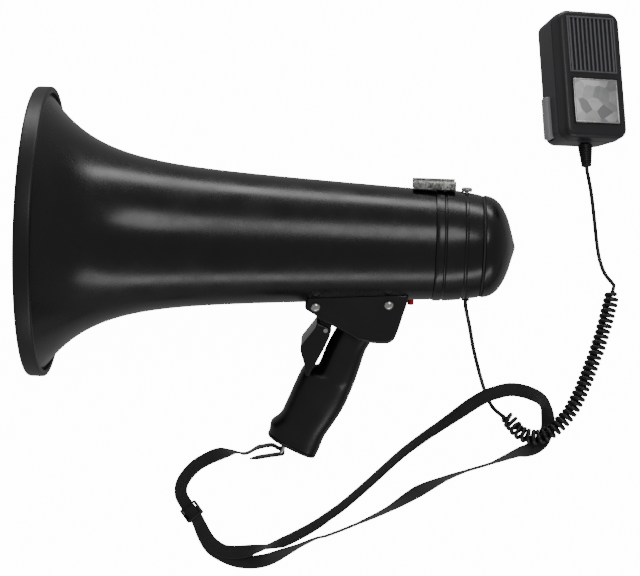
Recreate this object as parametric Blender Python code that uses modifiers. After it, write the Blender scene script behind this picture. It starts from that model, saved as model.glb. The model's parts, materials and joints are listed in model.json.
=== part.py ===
"""Handheld megaphone with a hand microphone, lying on its side with its strap and cord laid out.

Metres, +Z up, on a surface at z = 0. The megaphone is modelled in its own frame (x from the mouth
to the rear along the axis, z towards the microphone hanger, grip towards -z) and is then laid down
on the three points that it really rests on: the rim, the rear housing and the butt of the grip.
"""
import math

import bmesh
import bpy
import numpy as np
from mathutils import Matrix, Vector

for old in list(bpy.data.objects):
    bpy.data.objects.remove(old, do_unlink=True)

# ---------------------------------------------------------------- driving sizes
GAP = 0.0003                  # left between pieces that touch
STEPS = 36                    # sides of the large turned pieces
SMALL_STEPS = 16              # sides of the small ones

MEGAPHONE_PLACE = (-0.1996, -0.0088)  # where the mouth's centre stands
MOUTH_RADIUS = 0.105          # outside of the rubber rim
TUBE_LENGTH = 0.2895          # mouth plane to the rear end of the horn's tube
TUBE_END_RADIUS = 0.0398
TUBE_TAPER = 0.053            # radius lost for each metre of tube
FLARE_LENGTH = 0.033          # distance in which the bell's flare falls to 1/e
HORN_WALL = 0.0025
LIP_X = 0.007                 # front face of the bell's edge flange
LIP_THICKNESS = 0.0025
LIP_HEIGHT = 0.0025
RIM_WIDTH = 0.0120
RIM_COVER = 0.003             # rubber outside the flange

CUP_FRONT_X = 0.043
CUP_LENGTH = 0.040
CUP_RADIUS = 0.038
CUP_WALL = 0.002
SPIDER_X = 0.073
SPIDER_THICKNESS = 0.004
SPIDER_HUB = 0.003
SPIDER_LEG_WIDTH = 0.006
THROAT_FRONT_X = 0.057
THROAT_RADIUS = 0.0155
THROAT_REAR_RADIUS = 0.013
THROAT_WALL = 0.002
THROAT_FLANGE_RADIUS = 0.024
THROAT_FLANGE = 0.003

DRIVER_X = 0.119              # front face of the bulkhead
BULKHEAD_THICKNESS = 0.003
DRIVER_RADIUS = 0.038
DRIVER_BORE = 0.0115
PLATE_THICKNESS = 0.004
GASKET_THICKNESS = 0.0058
GASKET_WIDTH = 0.007
DOME_HEIGHT = 0.0047
DOME_RADIUS = 0.015
DIAPHRAGM_THICKNESS = 0.0006
COIL_DEPTH = 0.006
COIL_WALL = 0.0006
MAGNET_THICKNESS = 0.0194
MAGNET_BORE = 0.0165
POLE_CLEARANCE = 0.0008
YOKE_THICKNESS = 0.0047

BOARD_LENGTH = 0.048
BOARD_WIDTH = 0.064
BOARD_THICKNESS = 0.0016
BOARD_Z = -0.014
BOARD_TO_PACK = 0.006
SINK_LENGTH = 0.034
SINK_WIDTH = 0.036
SINK_BASE = 0.003
SINK_HEIGHT = 0.018
SINK_FIN = 0.0022
SINK_FINS = 6

CELL_RADIUS = 0.0131
CELL_LENGTH = 0.0475
CELL_NUB_RADIUS = 0.0032
CELL_NUB = 0.0022
HOLDER_DISC = 0.0021
HOLDER_ROD_RADIUS = 0.004
CONTACT_THICKNESS = 0.002

HOUSING_LENGTH = 0.0337
HOUSING_FRONT_RADIUS = 0.0407
HOUSING_DROP = 0.0036         # radius lost from the front of the housing to its end
HOUSING_BORE = 0.0346
SPIGOT_LENGTH = 0.0085
SPIGOT_WALL = 0.0024
GROOVE_DEPTH = 0.0006
SEAL_THICKNESS = 0.0014
SEAL_INSET = 0.0004
CAP_SKIRT = 0.0035
CAP_SKIRT_WALL = 0.0019
CAP_LENGTH = 0.0237
CAP_WALL = 0.003

KNOB_BEHIND = 0.0225           # behind the front of the rear housing
KNOB_RADIUS = 0.0039
KNOB_HEIGHT = 0.0026
KNOB_SHAFT_RADIUS = 0.0015
POT_LENGTH = 0.011
POT_WIDTH = 0.011
POT_HEIGHT = 0.0085

GLAND_BEHIND = 0.0252
GLAND_RADIUS = 0.0032
GLAND_NECK_RADIUS = 0.002
GLAND_HEIGHT = 0.0014
GLAND_NECK = 0.0052

BUTTON_AHEAD = 0.0147          # ahead of the front of the rear housing
BUTTON_RADIUS = 0.0023
BUTTON_PROUD = 0.0043
BUTTON_TRAVEL = 0.0015
BUTTON_CLEARANCE = 0.0004
SIREN_SWITCH_SIZE = (0.012, 0.008, 0.0095)

HANGER_AHEAD = 0.0165
HANGER_LENGTH = 0.0306
HANGER_WIDTH = 0.022
HANGER_HEIGHT = 0.0064
HANGER_SHEET = 0.0012
HANGER_LIP = 0.0052
HANGER_SCREW_INSET = 0.0065
SCREW_SHANK_RADIUS = 0.0013
SCREW_HEAD_RADIUS = 0.0026

SADDLE_HALF_WIDTH = 0.023
GRIP_AHEAD = 0.0608           # grip's station ahead of the rear housing
SADDLE_DEPTH = 0.0269         # tube's underside to the grip's origin
GRIP_RAKE = math.radians(25)
GRIP_HALF_WIDTH = 0.0175
GRIP_WALL = 0.003
GRIP_ROUNDNESS = 2.6
SADDLE_SCREW_RADIUS = 0.0034
SADDLE_SHANK_RADIUS = 0.0017
SADDLE_SHANK_START = 0.0135    # from the middle plane
BUTT_THICKNESS = 0.0025

TRIGGER_PIVOT = (-0.0152, -0.0194)  # from the grip's station, on the tube's underside
TRIGGER_HALF_WIDTH = 0.0204
TRIGGER_WALL = 0.0022
TRIGGER_PIN_RADIUS = 0.0016
TRIGGER_TRAVEL = math.radians(8)
LUG_RADIUS = 0.0042
LUG_HALF_WIDTH = 0.0172
LUG_TOP = -0.0128
TRIGGER_SPRING_RADIUS = 0.0032
SPRING_WIRE = 0.0004

STRAP_WIDTH = 0.010
STRAP_THICKNESS = 0.0012
SLIDE_LENGTH = 0.0115          # along the strap
SLIDE_BAR = 0.0018
SLIDE_RAIL = 0.0014
SLIDE_CLEARANCE = 0.0006       # beside the strap
CORD_RADIUS = 0.0015
COIL_RADIUS = 0.006

MIC_WIDTH = 0.0505
MIC_LENGTH = 0.095
MIC_FRONT_DEPTH = 0.012
MIC_BACK_DEPTH = 0.0265
MIC_CORNER = 0.008
MIC_EDGE = 0.003
MIC_WALL = 0.002
MIC_PLACE = (0.1076, 0.1243)   # the microphone's middle from the rear end of the tube, on the surface
MIC_HEADING = math.radians(5.0)
GRILLE_SLOTS = 10
GRILLE_PITCH = 0.0034
GRILLE_SLOT = 0.0014
GRILLE_LENGTH = 0.0395
GRILLE_MIDDLE = 0.0215
LABEL_WIDTH = 0.036
LABEL_LENGTH = 0.0325
LABEL_THICKNESS = 0.0012
LABEL_MIDDLE = -0.0205
STUD_HEIGHT = 0.0102
STUD_NECK_RADIUS = 0.0036
STUD_HEAD_RADIUS = 0.0082
STUD_HEAD = 0.003
PTT_LENGTH = 0.031
PTT_WIDTH = 0.0085
PTT_PROUD = 0.0022
PTT_TRAVEL = 0.002
PTT_MIDDLE = -0.0275
CAPSULE_RADIUS = 0.0135
CAPSULE_DEPTH = 0.008
BOOT_LENGTH = 0.0165
BOOT_RADIUS = 0.0052
BOOT_TIP_RADIUS = 0.0038
BOOT_NECK_RADIUS = 0.0030

# ---------------------------------------------------------------- collections, materials, frames
PARTS = bpy.data.collections.new("handheld_megaphone")
CUTTERS = bpy.data.collections.new("cutters")
bpy.context.scene.collection.children.link(PARTS)
bpy.context.scene.collection.children.link(CUTTERS)

SIDE = (math.radians(90), 0, 0)                    # outline in x and z, thickness along y
SECTION = (math.radians(90), 0, math.radians(90))  # outline in y and z, thickness along x
TOP = (0, 0, 0)                                    # outline in x and y, thickness along z
AXIAL = (0, math.radians(90), 0)                   # turned about x
UP = (0, 0, 0)                                     # turned about z


def finish(name, color, roughness, metallic=0.0):
    made = bpy.data.materials.new(name)
    made.use_nodes = True
    shader = made.node_tree.nodes["Principled BSDF"]
    shader.inputs["Base Color"].default_value = (*color, 1)
    shader.inputs["Roughness"].default_value = roughness
    shader.inputs["Metallic"].default_value = metallic
    return made


HOUSING_BLACK = finish("black_abs", (0.013, 0.013, 0.014), 0.38)
GRIP_BLACK = finish("black_grip_abs", (0.012, 0.012, 0.013), 0.45)
RUBBER = finish("black_rubber", (0.018, 0.018, 0.018), 0.7)
STEEL = finish("zinc_plated_steel", (0.55, 0.55, 0.54), 0.42, 1.0)
BRIGHT = finish("nickel_plate", (0.7, 0.7, 0.7), 0.25, 1.0)
FERRITE = finish("ferrite", (0.05, 0.05, 0.055), 0.6)
BOARD_GREEN = finish("circuit_board", (0.03, 0.14, 0.06), 0.5)
ALUMINIUM = finish("anodised_aluminium", (0.4, 0.4, 0.41), 0.4, 1.0)
FILM = finish("diaphragm_film", (0.3, 0.25, 0.12), 0.4)
CELL_JACKET = finish("cell_jacket", (0.08, 0.09, 0.11), 0.35)
RED = finish("red_button", (0.42, 0.01, 0.03), 0.35)
WEBBING = finish("black_webbing", (0.02, 0.02, 0.021), 0.85)
CORD_JACKET = finish("black_pvc", (0.025, 0.025, 0.025), 0.45)
MIC_GREY = finish("microphone_abs", (0.05, 0.05, 0.05), 0.5)
PTT_GREY = finish("grey_button", (0.3, 0.3, 0.3), 0.5)


def empty(name, parent=None, location=(0, 0, 0), rotation=(0, 0, 0)):
    made = bpy.data.objects.new(name, None)
    PARTS.objects.link(made)
    made.parent = parent
    made.location = location
    made.rotation_euler = rotation
    return made


megaphone = empty("megaphone_frame")
microphone = empty("microphone_frame")


def place(name, data, material, parent, location=(0, 0, 0), rotation=(0, 0, 0)):
    """Link an object for a mesh or curve; without a material it is a cutter."""
    made = bpy.data.objects.new(name, data)
    made.parent = parent
    made.location = location
    made.rotation_euler = rotation
    if material is None:
        CUTTERS.objects.link(made)
        made.hide_render = True
        made.display_type = "WIRE"
    else:
        PARTS.objects.link(made)
        data.materials.append(material)
    return made


def as_mesh(made):
    """Turn a curve object into a welded mesh object in the same place."""
    bpy.context.view_layer.update()
    evaluated = made.evaluated_get(bpy.context.evaluated_depsgraph_get())
    mesh = bpy.data.meshes.new_from_object(evaluated)
    work = bmesh.new()
    work.from_mesh(mesh)
    bmesh.ops.remove_doubles(work, verts=work.verts, dist=1e-6)
    bmesh.ops.recalc_face_normals(work, faces=work.faces)
    work.to_mesh(mesh)
    work.free()
    name, homes = made.name, list(made.users_collection)
    turned_mesh = bpy.data.objects.new(name + "_mesh", mesh)
    for home in homes:
        home.objects.link(turned_mesh)
    turned_mesh.parent = made.parent
    turned_mesh.location = made.location
    turned_mesh.rotation_euler = made.rotation_euler
    turned_mesh.hide_render = made.hide_render
    turned_mesh.display_type = made.display_type
    bpy.data.objects.remove(made, do_unlink=True)
    turned_mesh.name = name
    return turned_mesh


def turned(name, loop, material, parent=megaphone, location=(0, 0, 0), rotation=AXIAL, steps=STEPS):
    """Turn a profile of (distance along the axis, radius) points.

    The outer side is listed first, from low to high, then the inner side back. A profile that
    starts and ends on the axis stays open.
    """
    mesh = bpy.data.meshes.new(name)
    work = bmesh.new()
    verts = [work.verts.new((radius, 0, along)) for along, radius in reversed(loop)]
    for first, second in zip(verts, verts[1:]):
        work.edges.new((first, second))
    if loop[0][1] > 0:
        work.edges.new((verts[-1], verts[0]))
    work.to_mesh(mesh)
    work.free()
    made = place(name, mesh, material, parent, location, rotation)
    screw = made.modifiers.new("turn", "SCREW")
    screw.axis = "Z"
    screw.angle = math.tau
    screw.steps = steps
    screw.render_steps = steps
    screw.use_merge_vertices = True
    screw.merge_threshold = 1e-6
    screw.use_smooth_shade = True
    return made


def outline(name, points, thickness, material, parent=megaphone, location=(0, 0, 0), rotation=SIDE,
            holes=()):
    """Extrude a flat outline by its thickness, half to each side of its plane."""
    curve = bpy.data.curves.new(name, "CURVE")
    curve.dimensions = "2D"
    curve.fill_mode = "BOTH"
    curve.extrude = thickness / 2
    for ring in (points, *holes):
        spline = curve.splines.new("POLY")
        spline.points.add(len(ring) - 1)
        for point, (across, along) in zip(spline.points, ring):
            point.co = (across, along, 0, 1)
        spline.use_cyclic_u = True
    return as_mesh(place(name, curve, material, parent, location, rotation))


def box(name, size, material, parent=megaphone, location=(0, 0, 0), rotation=(0, 0, 0)):
    mesh = bpy.data.meshes.new(name)
    work = bmesh.new()
    bmesh.ops.create_cube(work, size=1)
    bmesh.ops.scale(work, vec=size, verts=work.verts)
    work.to_mesh(mesh)
    work.free()
    return place(name, mesh, material, parent, location, rotation)


def rod(name, radius, start, end, material, parent=megaphone, sides=SMALL_STEPS):
    """A round bar from one point to another."""
    start, end = Vector(start), Vector(end)
    mesh = bpy.data.meshes.new(name)
    work = bmesh.new()
    bmesh.ops.create_cone(work, cap_ends=True, segments=sides, radius1=radius, radius2=radius,
                          depth=(end - start).length)
    work.to_mesh(mesh)
    work.free()
    facing = (end - start).to_track_quat("Z", "Y").to_euler()
    return place(name, mesh, material, parent, (start + end) / 2, facing)


def combine(target, tool, operation):
    modifier = target.modifiers.new(tool.name, "BOOLEAN")
    modifier.operation = operation
    modifier.object = tool
    modifier.solver = "EXACT"


def cut(target, *tools):
    for tool in tools:
        combine(target, tool, "DIFFERENCE")


def join(target, *tools):
    for tool in tools:
        combine(target, tool, "UNION")


def round_edges(made, width, segments=2, angle=30):
    bevel = made.modifiers.new("rounding", "BEVEL")
    bevel.width = width
    bevel.segments = segments
    bevel.limit_method = "ANGLE"
    bevel.angle_limit = math.radians(angle)


def tube(name, route, radius, material, parent=None, resolution=2):
    """A round bar bent along a route of points."""
    curve = bpy.data.curves.new(name, "CURVE")
    curve.dimensions = "3D"
    curve.bevel_depth = radius
    curve.bevel_resolution = resolution
    curve.use_fill_caps = True
    spline = curve.splines.new("POLY")
    spline.points.add(len(route) - 1)
    for point, co in zip(spline.points, route):
        point.co = (*co, 1)
    return place(name, curve, material, parent)


def smooth_route(points, spacing):
    """Points at an even spacing along a smooth curve through the given ones."""
    knots = [Vector(point) for point in points]
    knots = [knots[0] * 2 - knots[1], *knots, knots[-1] * 2 - knots[-2]]
    fine = []
    for before, start, end, after in zip(knots, knots[1:], knots[2:], knots[3:]):
        for share in np.linspace(0, 1, 24, endpoint=False):
            square, cube = share ** 2, share ** 3
            fine.append(0.5 * (2 * start + (end - before) * share
                               + (2 * before - 5 * start + 4 * end - after) * square
                               + (3 * start - before - 3 * end + after) * cube))
    fine.append(knots[-2])
    run = np.concatenate([[0], np.cumsum([(b - a).length for a, b in zip(fine, fine[1:])])])
    count = max(2, round(run[-1] / spacing))
    marks = np.linspace(0, run[-1], count + 1)
    table = np.array([list(point) for point in fine])
    return [tuple(float(np.interp(mark, run, table[:, axis])) for axis in range(3)) for mark in marks]


# ---------------------------------------------------------------- horn
bell_edge_x = LIP_X + LIP_THICKNESS
flange_radius = MOUTH_RADIUS - RIM_COVER
bell_edge_radius = flange_radius - LIP_HEIGHT
straight_at_edge = TUBE_END_RADIUS + TUBE_TAPER * (TUBE_LENGTH - bell_edge_x)
FLARE = (bell_edge_radius - straight_at_edge) * math.exp(bell_edge_x / FLARE_LENGTH)


def horn_radius(x):
    """Outside of the bell and tube: a straight taper with an exponential flare added."""
    return TUBE_END_RADIUS + TUBE_TAPER * (TUBE_LENGTH - x) + FLARE * math.exp(-x / FLARE_LENGTH)


def horn_bore(x):
    """Inside of the bell and tube, a wall's thickness in from the outside."""
    slope = TUBE_TAPER + FLARE / FLARE_LENGTH * math.exp(-x / FLARE_LENGTH)
    return horn_radius(x) - HORN_WALL * math.hypot(1, slope)


stations = [bell_edge_x + (TUBE_LENGTH - bell_edge_x) * (step / 10) ** 2 for step in range(11)]
horn_shell = turned(
    "horn_shell",
    [(LIP_X, flange_radius), (bell_edge_x, flange_radius)]
    + [(x, horn_radius(x)) for x in stations]
    + [(x, horn_bore(x)) for x in reversed(stations)] + [(LIP_X, horn_bore(LIP_X))],
    HOUSING_BLACK)

lip_bore = horn_bore(LIP_X) + 0.0008
groove_bore = bell_edge_radius + 0.001
turned(
    "rim_bumper",
    [(0.0006, lip_bore), (0, lip_bore + 0.0015), (0, MOUTH_RADIUS - 0.0025), (0.0012, MOUTH_RADIUS - 0.0006),
     (0.003, MOUTH_RADIUS), (RIM_WIDTH - 0.003, MOUTH_RADIUS), (RIM_WIDTH - 0.0008, MOUTH_RADIUS - 0.0008),
     (RIM_WIDTH, MOUTH_RADIUS - 0.0026), (RIM_WIDTH, groove_bore + 0.0008), (RIM_WIDTH - 0.0008, groove_bore),
     (bell_edge_x + GAP, groove_bore), (bell_edge_x + GAP, flange_radius + GAP),
     (LIP_X - GAP, flange_radius + GAP), (LIP_X - GAP, lip_bore)],
    RUBBER)

# ---------------------------------------------------------------- folded sound path in the bell
cup_depth = CUP_LENGTH
turns = [math.radians(angle) for angle in range(0, 91, 15)]


def cup_bore(x):
    share = 1 - (x - CUP_FRONT_X - CUP_WALL) / (cup_depth - CUP_WALL)
    return (CUP_RADIUS - CUP_WALL) * math.sqrt(1 - share ** 2)


turned(
    "reflector_cup",
    [(CUP_FRONT_X + cup_depth * (1 - math.cos(a)), CUP_RADIUS * math.sin(a)) for a in turns]
    + [(CUP_FRONT_X + CUP_WALL + (cup_depth - CUP_WALL) * (1 - math.cos(a)),
        (CUP_RADIUS - CUP_WALL) * math.sin(a)) for a in reversed(turns)],
    HOUSING_BLACK, steps=24)

throat_rear_x = DRIVER_X - GAP
flange_x = throat_rear_x - THROAT_FLANGE
turned(
    "throat_tube",
    [(THROAT_FRONT_X, THROAT_RADIUS), (flange_x, THROAT_REAR_RADIUS), (flange_x, THROAT_FLANGE_RADIUS),
     (throat_rear_x, THROAT_FLANGE_RADIUS), (throat_rear_x, THROAT_REAR_RADIUS - THROAT_WALL),
     (THROAT_FRONT_X, THROAT_RADIUS - THROAT_WALL)],
    HOUSING_BLACK, steps=SMALL_STEPS)

hub_bore = THROAT_RADIUS + GAP
hub_radius = hub_bore + SPIDER_HUB
leg_reach = cup_bore(SPIDER_X) - 2 * GAP
star = []
for leg in range(3):
    facing = math.tau * leg / 3
    root = math.asin(SPIDER_LEG_WIDTH / 2 / hub_radius)
    tip = math.asin(SPIDER_LEG_WIDTH / 2 / leg_reach)
    for radius, angle in ((hub_radius, -root), (leg_reach, -tip), (leg_reach, tip), (hub_radius, root)):
        star.append((radius * math.cos(facing + angle), radius * math.sin(facing + angle)))
    for share in (0.25, 0.5, 0.75):
        between = facing + root + share * (math.tau / 3 - 2 * root)
        star.append((hub_radius * math.cos(between), hub_radius * math.sin(between)))
hub_hole = [(hub_bore / math.cos(math.pi / SMALL_STEPS) * math.cos(math.tau * k / SMALL_STEPS),
             hub_bore / math.cos(math.pi / SMALL_STEPS) * math.sin(math.tau * k / SMALL_STEPS))
            for k in range(SMALL_STEPS)]
outline("reflector_spider", star, SPIDER_THICKNESS, HOUSING_BLACK,
        location=(SPIDER_X + SPIDER_THICKNESS / 2, 0, 0), rotation=SECTION, holes=[hub_hole])

# ---------------------------------------------------------------- driver
bulkhead_rear = DRIVER_X + BULKHEAD_THICKNESS
turned(
    "driver_bulkhead",
    [(DRIVER_X, horn_bore(bulkhead_rear) - GAP), (bulkhead_rear, horn_bore(bulkhead_rear) - GAP),
     (bulkhead_rear, DRIVER_BORE), (DRIVER_X, DRIVER_BORE)],
    HOUSING_BLACK)
plate_x = bulkhead_rear + GAP
turned(
    "driver_front_plate",
    [(plate_x, DRIVER_RADIUS), (plate_x + PLATE_THICKNESS, DRIVER_RADIUS),
     (plate_x + PLATE_THICKNESS, DRIVER_BORE), (plate_x, DRIVER_BORE)],
    STEEL, steps=SMALL_STEPS)
gasket_x = plate_x + PLATE_THICKNESS + GAP
turned(
    "driver_gasket",
    [(gasket_x, DRIVER_RADIUS), (gasket_x + GASKET_THICKNESS, DRIVER_RADIUS),
     (gasket_x + GASKET_THICKNESS, DRIVER_RADIUS - GASKET_WIDTH), (gasket_x, DRIVER_RADIUS - GASKET_WIDTH)],
    RUBBER, steps=SMALL_STEPS)
film_x = gasket_x + GASKET_THICKNESS + GAP
coil_radius = DOME_RADIUS - 0.0012
dome = [(film_x - DOME_HEIGHT * math.cos(a), DOME_RADIUS * math.sin(a)) for a in turns[::2]]
dome_back = [(film_x + DIAPHRAGM_THICKNESS - DOME_HEIGHT * math.cos(a),
              (coil_radius - COIL_WALL) * math.sin(a)) for a in reversed(turns[::2])]
turned(
    "driver_diaphragm",
    dome + [(film_x, DRIVER_RADIUS), (film_x + DIAPHRAGM_THICKNESS, DRIVER_RADIUS),
            (film_x + DIAPHRAGM_THICKNESS, coil_radius),
            (film_x + COIL_DEPTH, coil_radius), (film_x + COIL_DEPTH, coil_radius - COIL_WALL)] + dome_back,
    FILM, steps=SMALL_STEPS)
magnet_x = film_x + DIAPHRAGM_THICKNESS + GAP
magnet_rear = magnet_x + MAGNET_THICKNESS
turned(
    "driver_magnet",
    [(magnet_x, DRIVER_RADIUS - 0.001), (magnet_rear, DRIVER_RADIUS - 0.001),
     (magnet_rear, MAGNET_BORE), (magnet_x, MAGNET_BORE)],
    FERRITE, steps=SMALL_STEPS)
pole_radius = coil_radius - COIL_WALL - POLE_CLEARANCE
yoke_x = magnet_rear + GAP
yoke_rear = yoke_x + YOKE_THICKNESS
turned(
    "driver_yoke",
    [(magnet_x + 0.001, 0), (magnet_x + 0.001, pole_radius), (yoke_x, pole_radius),
     (yoke_x, DRIVER_RADIUS - 0.001), (yoke_rear, DRIVER_RADIUS - 0.001), (yoke_rear, 0)],
    STEEL, steps=SMALL_STEPS)

# ---------------------------------------------------------------- battery pack
housing_x = TUBE_LENGTH + GAP
housing_end_x = housing_x + HOUSING_LENGTH
cap_x = housing_end_x + SEAL_THICKNESS + 2 * GAP
pack_rear = housing_end_x - GAP
cell_pitch = CELL_LENGTH + CELL_NUB + GAP
pack_front = pack_rear - 2 * cell_pitch
contact_x = pack_front - GAP - CONTACT_THICKNESS
holder_x = contact_x - GAP - HOLDER_DISC
cell_ring = (CELL_RADIUS + GAP / 2) * math.sqrt(2)
turned(
    "battery_holder",
    [(holder_x, 0), (holder_x, cell_ring + CELL_RADIUS), (holder_x + HOLDER_DISC, cell_ring + CELL_RADIUS),
     (holder_x + HOLDER_DISC, HOLDER_ROD_RADIUS), (pack_rear, HOLDER_ROD_RADIUS), (pack_rear, 0)],
    HOUSING_BLACK, steps=SMALL_STEPS)
turned(
    "contact_plate",
    [(contact_x, cell_ring + CELL_RADIUS - 0.002), (contact_x + CONTACT_THICKNESS, cell_ring + CELL_RADIUS - 0.002),
     (contact_x + CONTACT_THICKNESS, HOLDER_ROD_RADIUS + GAP), (contact_x, HOLDER_ROD_RADIUS + GAP)],
    BRIGHT, steps=SMALL_STEPS)
cell_number = 0
for layer in range(2):
    for quarter in range(4):
        cell_number += 1
        front = pack_front + layer * cell_pitch
        angle = math.radians(45 + 90 * quarter)
        turned(
            f"battery_cell_{cell_number}",
            [(front, 0), (front, CELL_RADIUS), (front + CELL_LENGTH, CELL_RADIUS),
             (front + CELL_LENGTH, CELL_NUB_RADIUS), (front + CELL_LENGTH + CELL_NUB, CELL_NUB_RADIUS),
             (front + CELL_LENGTH + CELL_NUB, 0)],
            CELL_JACKET, location=(0, cell_ring * math.cos(angle), cell_ring * math.sin(angle)), steps=16)

# ---------------------------------------------------------------- amplifier
board_x = holder_x - BOARD_TO_PACK - BOARD_LENGTH / 2
box("amplifier_board", (BOARD_LENGTH, BOARD_WIDTH, BOARD_THICKNESS), BOARD_GREEN,
    location=(board_x, 0, BOARD_Z))
sink_pitch = (SINK_WIDTH - SINK_FIN) / (SINK_FINS - 1)
comb = [(SINK_WIDTH / 2, 0), (-SINK_WIDTH / 2, 0)]
for fin in range(SINK_FINS):
    left = -SINK_WIDTH / 2 + fin * sink_pitch
    comb += [(left, SINK_BASE), (left, SINK_HEIGHT), (left + SINK_FIN, SINK_HEIGHT), (left + SINK_FIN, SINK_BASE)]
comb = comb[:2] + comb[3:-1]
outline("heat_sink", comb, SINK_LENGTH, ALUMINIUM,
        location=(board_x, 0, BOARD_Z + BOARD_THICKNESS / 2 + GAP), rotation=SECTION)

# ---------------------------------------------------------------- rear housing and end cap


def housing_radius(x):
    share = (x - housing_x) / HOUSING_LENGTH
    return HOUSING_FRONT_RADIUS - HOUSING_DROP * share ** 1.8


def housing_groove(x, width):
    """Points across a shallow groove round the housing."""
    return [(x, housing_radius(x)), (x + width / 4, housing_radius(x) - GROOVE_DEPTH),
            (x + width * 3 / 4, housing_radius(x + width) - GROOVE_DEPTH), (x + width, housing_radius(x + width))]


spigot_radius = TUBE_END_RADIUS - HORN_WALL - GAP
spigot_bore = spigot_radius - SPIGOT_WALL
rear_housing = turned(
    "rear_housing",
    [(housing_x - SPIGOT_LENGTH, spigot_radius), (housing_x, spigot_radius),
     (housing_x, HOUSING_FRONT_RADIUS - 0.0006), (housing_x + 0.0006, HOUSING_FRONT_RADIUS)]
    + housing_groove(housing_x + 0.0058, 0.0022)
    + housing_groove(housing_x + 0.0205, 0.0028)
    + [(housing_end_x, housing_radius(housing_end_x)), (housing_end_x, HOUSING_BORE),
       (housing_x - SPIGOT_LENGTH, spigot_bore)],
    HOUSING_BLACK)
seal_x = housing_end_x + GAP
end_radius = housing_radius(housing_end_x)
turned(
    "end_cap_seal",
    [(seal_x, end_radius - SEAL_INSET), (seal_x + SEAL_THICKNESS, end_radius - SEAL_INSET),
     (seal_x + SEAL_THICKNESS, HOUSING_BORE + GAP), (seal_x, HOUSING_BORE + GAP)],
    RUBBER, steps=32)
skirt_radius = HOUSING_BORE - 2 * GAP
skirt_bore = skirt_radius - CAP_SKIRT_WALL
cap_shape = [(0, 1), (0.21, 0.965), (0.40, 0.9), (0.56, 0.79), (0.71, 0.615), (0.83, 0.38), (0.94, 0.14), (1, 0)]
inner_length = CAP_LENGTH - CAP_WALL
end_cap = turned(
    "end_cap",
    [(cap_x + inner_length * along, skirt_bore * out) for along, out in reversed(cap_shape)]
    + [(cap_x - CAP_SKIRT, skirt_bore), (cap_x - CAP_SKIRT, skirt_radius), (cap_x, skirt_radius)]
    + [(cap_x + CAP_LENGTH * along, end_radius * out) for along, out in cap_shape],
    HOUSING_BLACK)

# ---------------------------------------------------------------- volume control, cord gland, siren button
knob_x = housing_x + KNOB_BEHIND
knob_surface = max(housing_radius(knob_x + reach) for reach in (-KNOB_RADIUS, 0, KNOB_RADIUS))
pot_top = HOUSING_BORE - 0.0012
box("volume_pot", (POT_LENGTH, POT_WIDTH, POT_HEIGHT), FERRITE, location=(knob_x, 0, pot_top - POT_HEIGHT / 2))
volume_knob = turned(
    "volume_knob",
    [(pot_top + GAP, 0), (pot_top + GAP, KNOB_SHAFT_RADIUS), (knob_surface + GAP, KNOB_SHAFT_RADIUS),
     (knob_surface + GAP, KNOB_RADIUS), (knob_surface + KNOB_HEIGHT - 0.0005, KNOB_RADIUS),
     (knob_surface + KNOB_HEIGHT, KNOB_RADIUS - 0.0005), (knob_surface + KNOB_HEIGHT, 0)],
    BRIGHT, location=(knob_x, 0, 0), rotation=UP, steps=16)
cut(rear_housing, rod("knob_hole", KNOB_SHAFT_RADIUS + 2 * GAP, (knob_x, 0, HOUSING_BORE - 0.003),
                      (knob_x, 0, knob_surface + 0.003), None, sides=16))

gland_x = housing_x + GLAND_BEHIND
gland_surface = max(housing_radius(gland_x + reach) for reach in (-GLAND_RADIUS, 0, GLAND_RADIUS))
turned(
    "cord_gland",
    [(gland_surface + GLAND_HEIGHT - GLAND_NECK, 0), (gland_surface + GLAND_HEIGHT - GLAND_NECK, GLAND_NECK_RADIUS),
     (gland_surface + GAP, GLAND_NECK_RADIUS), (gland_surface + GAP, GLAND_RADIUS),
     (gland_surface + GLAND_HEIGHT, GLAND_RADIUS * 0.8), (gland_surface + GLAND_HEIGHT, 0)],
    RUBBER, location=(gland_x, 0, 0), rotation=(math.pi, 0, 0), steps=16)
cut(rear_housing, rod("gland_hole", GLAND_NECK_RADIUS + GAP, (gland_x, 0, 0.003 - HOUSING_BORE),
                      (gland_x, 0, -gland_surface - 0.003), None, sides=16))

button_x = housing_x - BUTTON_AHEAD
button_surface = horn_radius(button_x)
button_foot = horn_bore(button_x) + 0.0008
switch_top = button_foot - BUTTON_TRAVEL - GAP
siren_button = turned(
    "siren_button",
    [(button_foot, 0), (button_foot, BUTTON_RADIUS), (button_surface + BUTTON_PROUD - 0.0005, BUTTON_RADIUS),
     (button_surface + BUTTON_PROUD, BUTTON_RADIUS - 0.0005), (button_surface + BUTTON_PROUD, 0)],
    RED, location=(button_x, 0, 0), rotation=(math.pi, 0, 0), steps=16)
box("siren_switch", SIREN_SWITCH_SIZE, FERRITE,
    location=(button_x - 0.002, 0, -(switch_top - 0.0012) + SIREN_SWITCH_SIZE[2] / 2))
cut(horn_shell, rod("button_hole", BUTTON_RADIUS + BUTTON_CLEARANCE, (button_x, 0, 0.004 - button_foot),
                    (button_x, 0, -button_surface - 0.003), None, sides=16))

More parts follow.
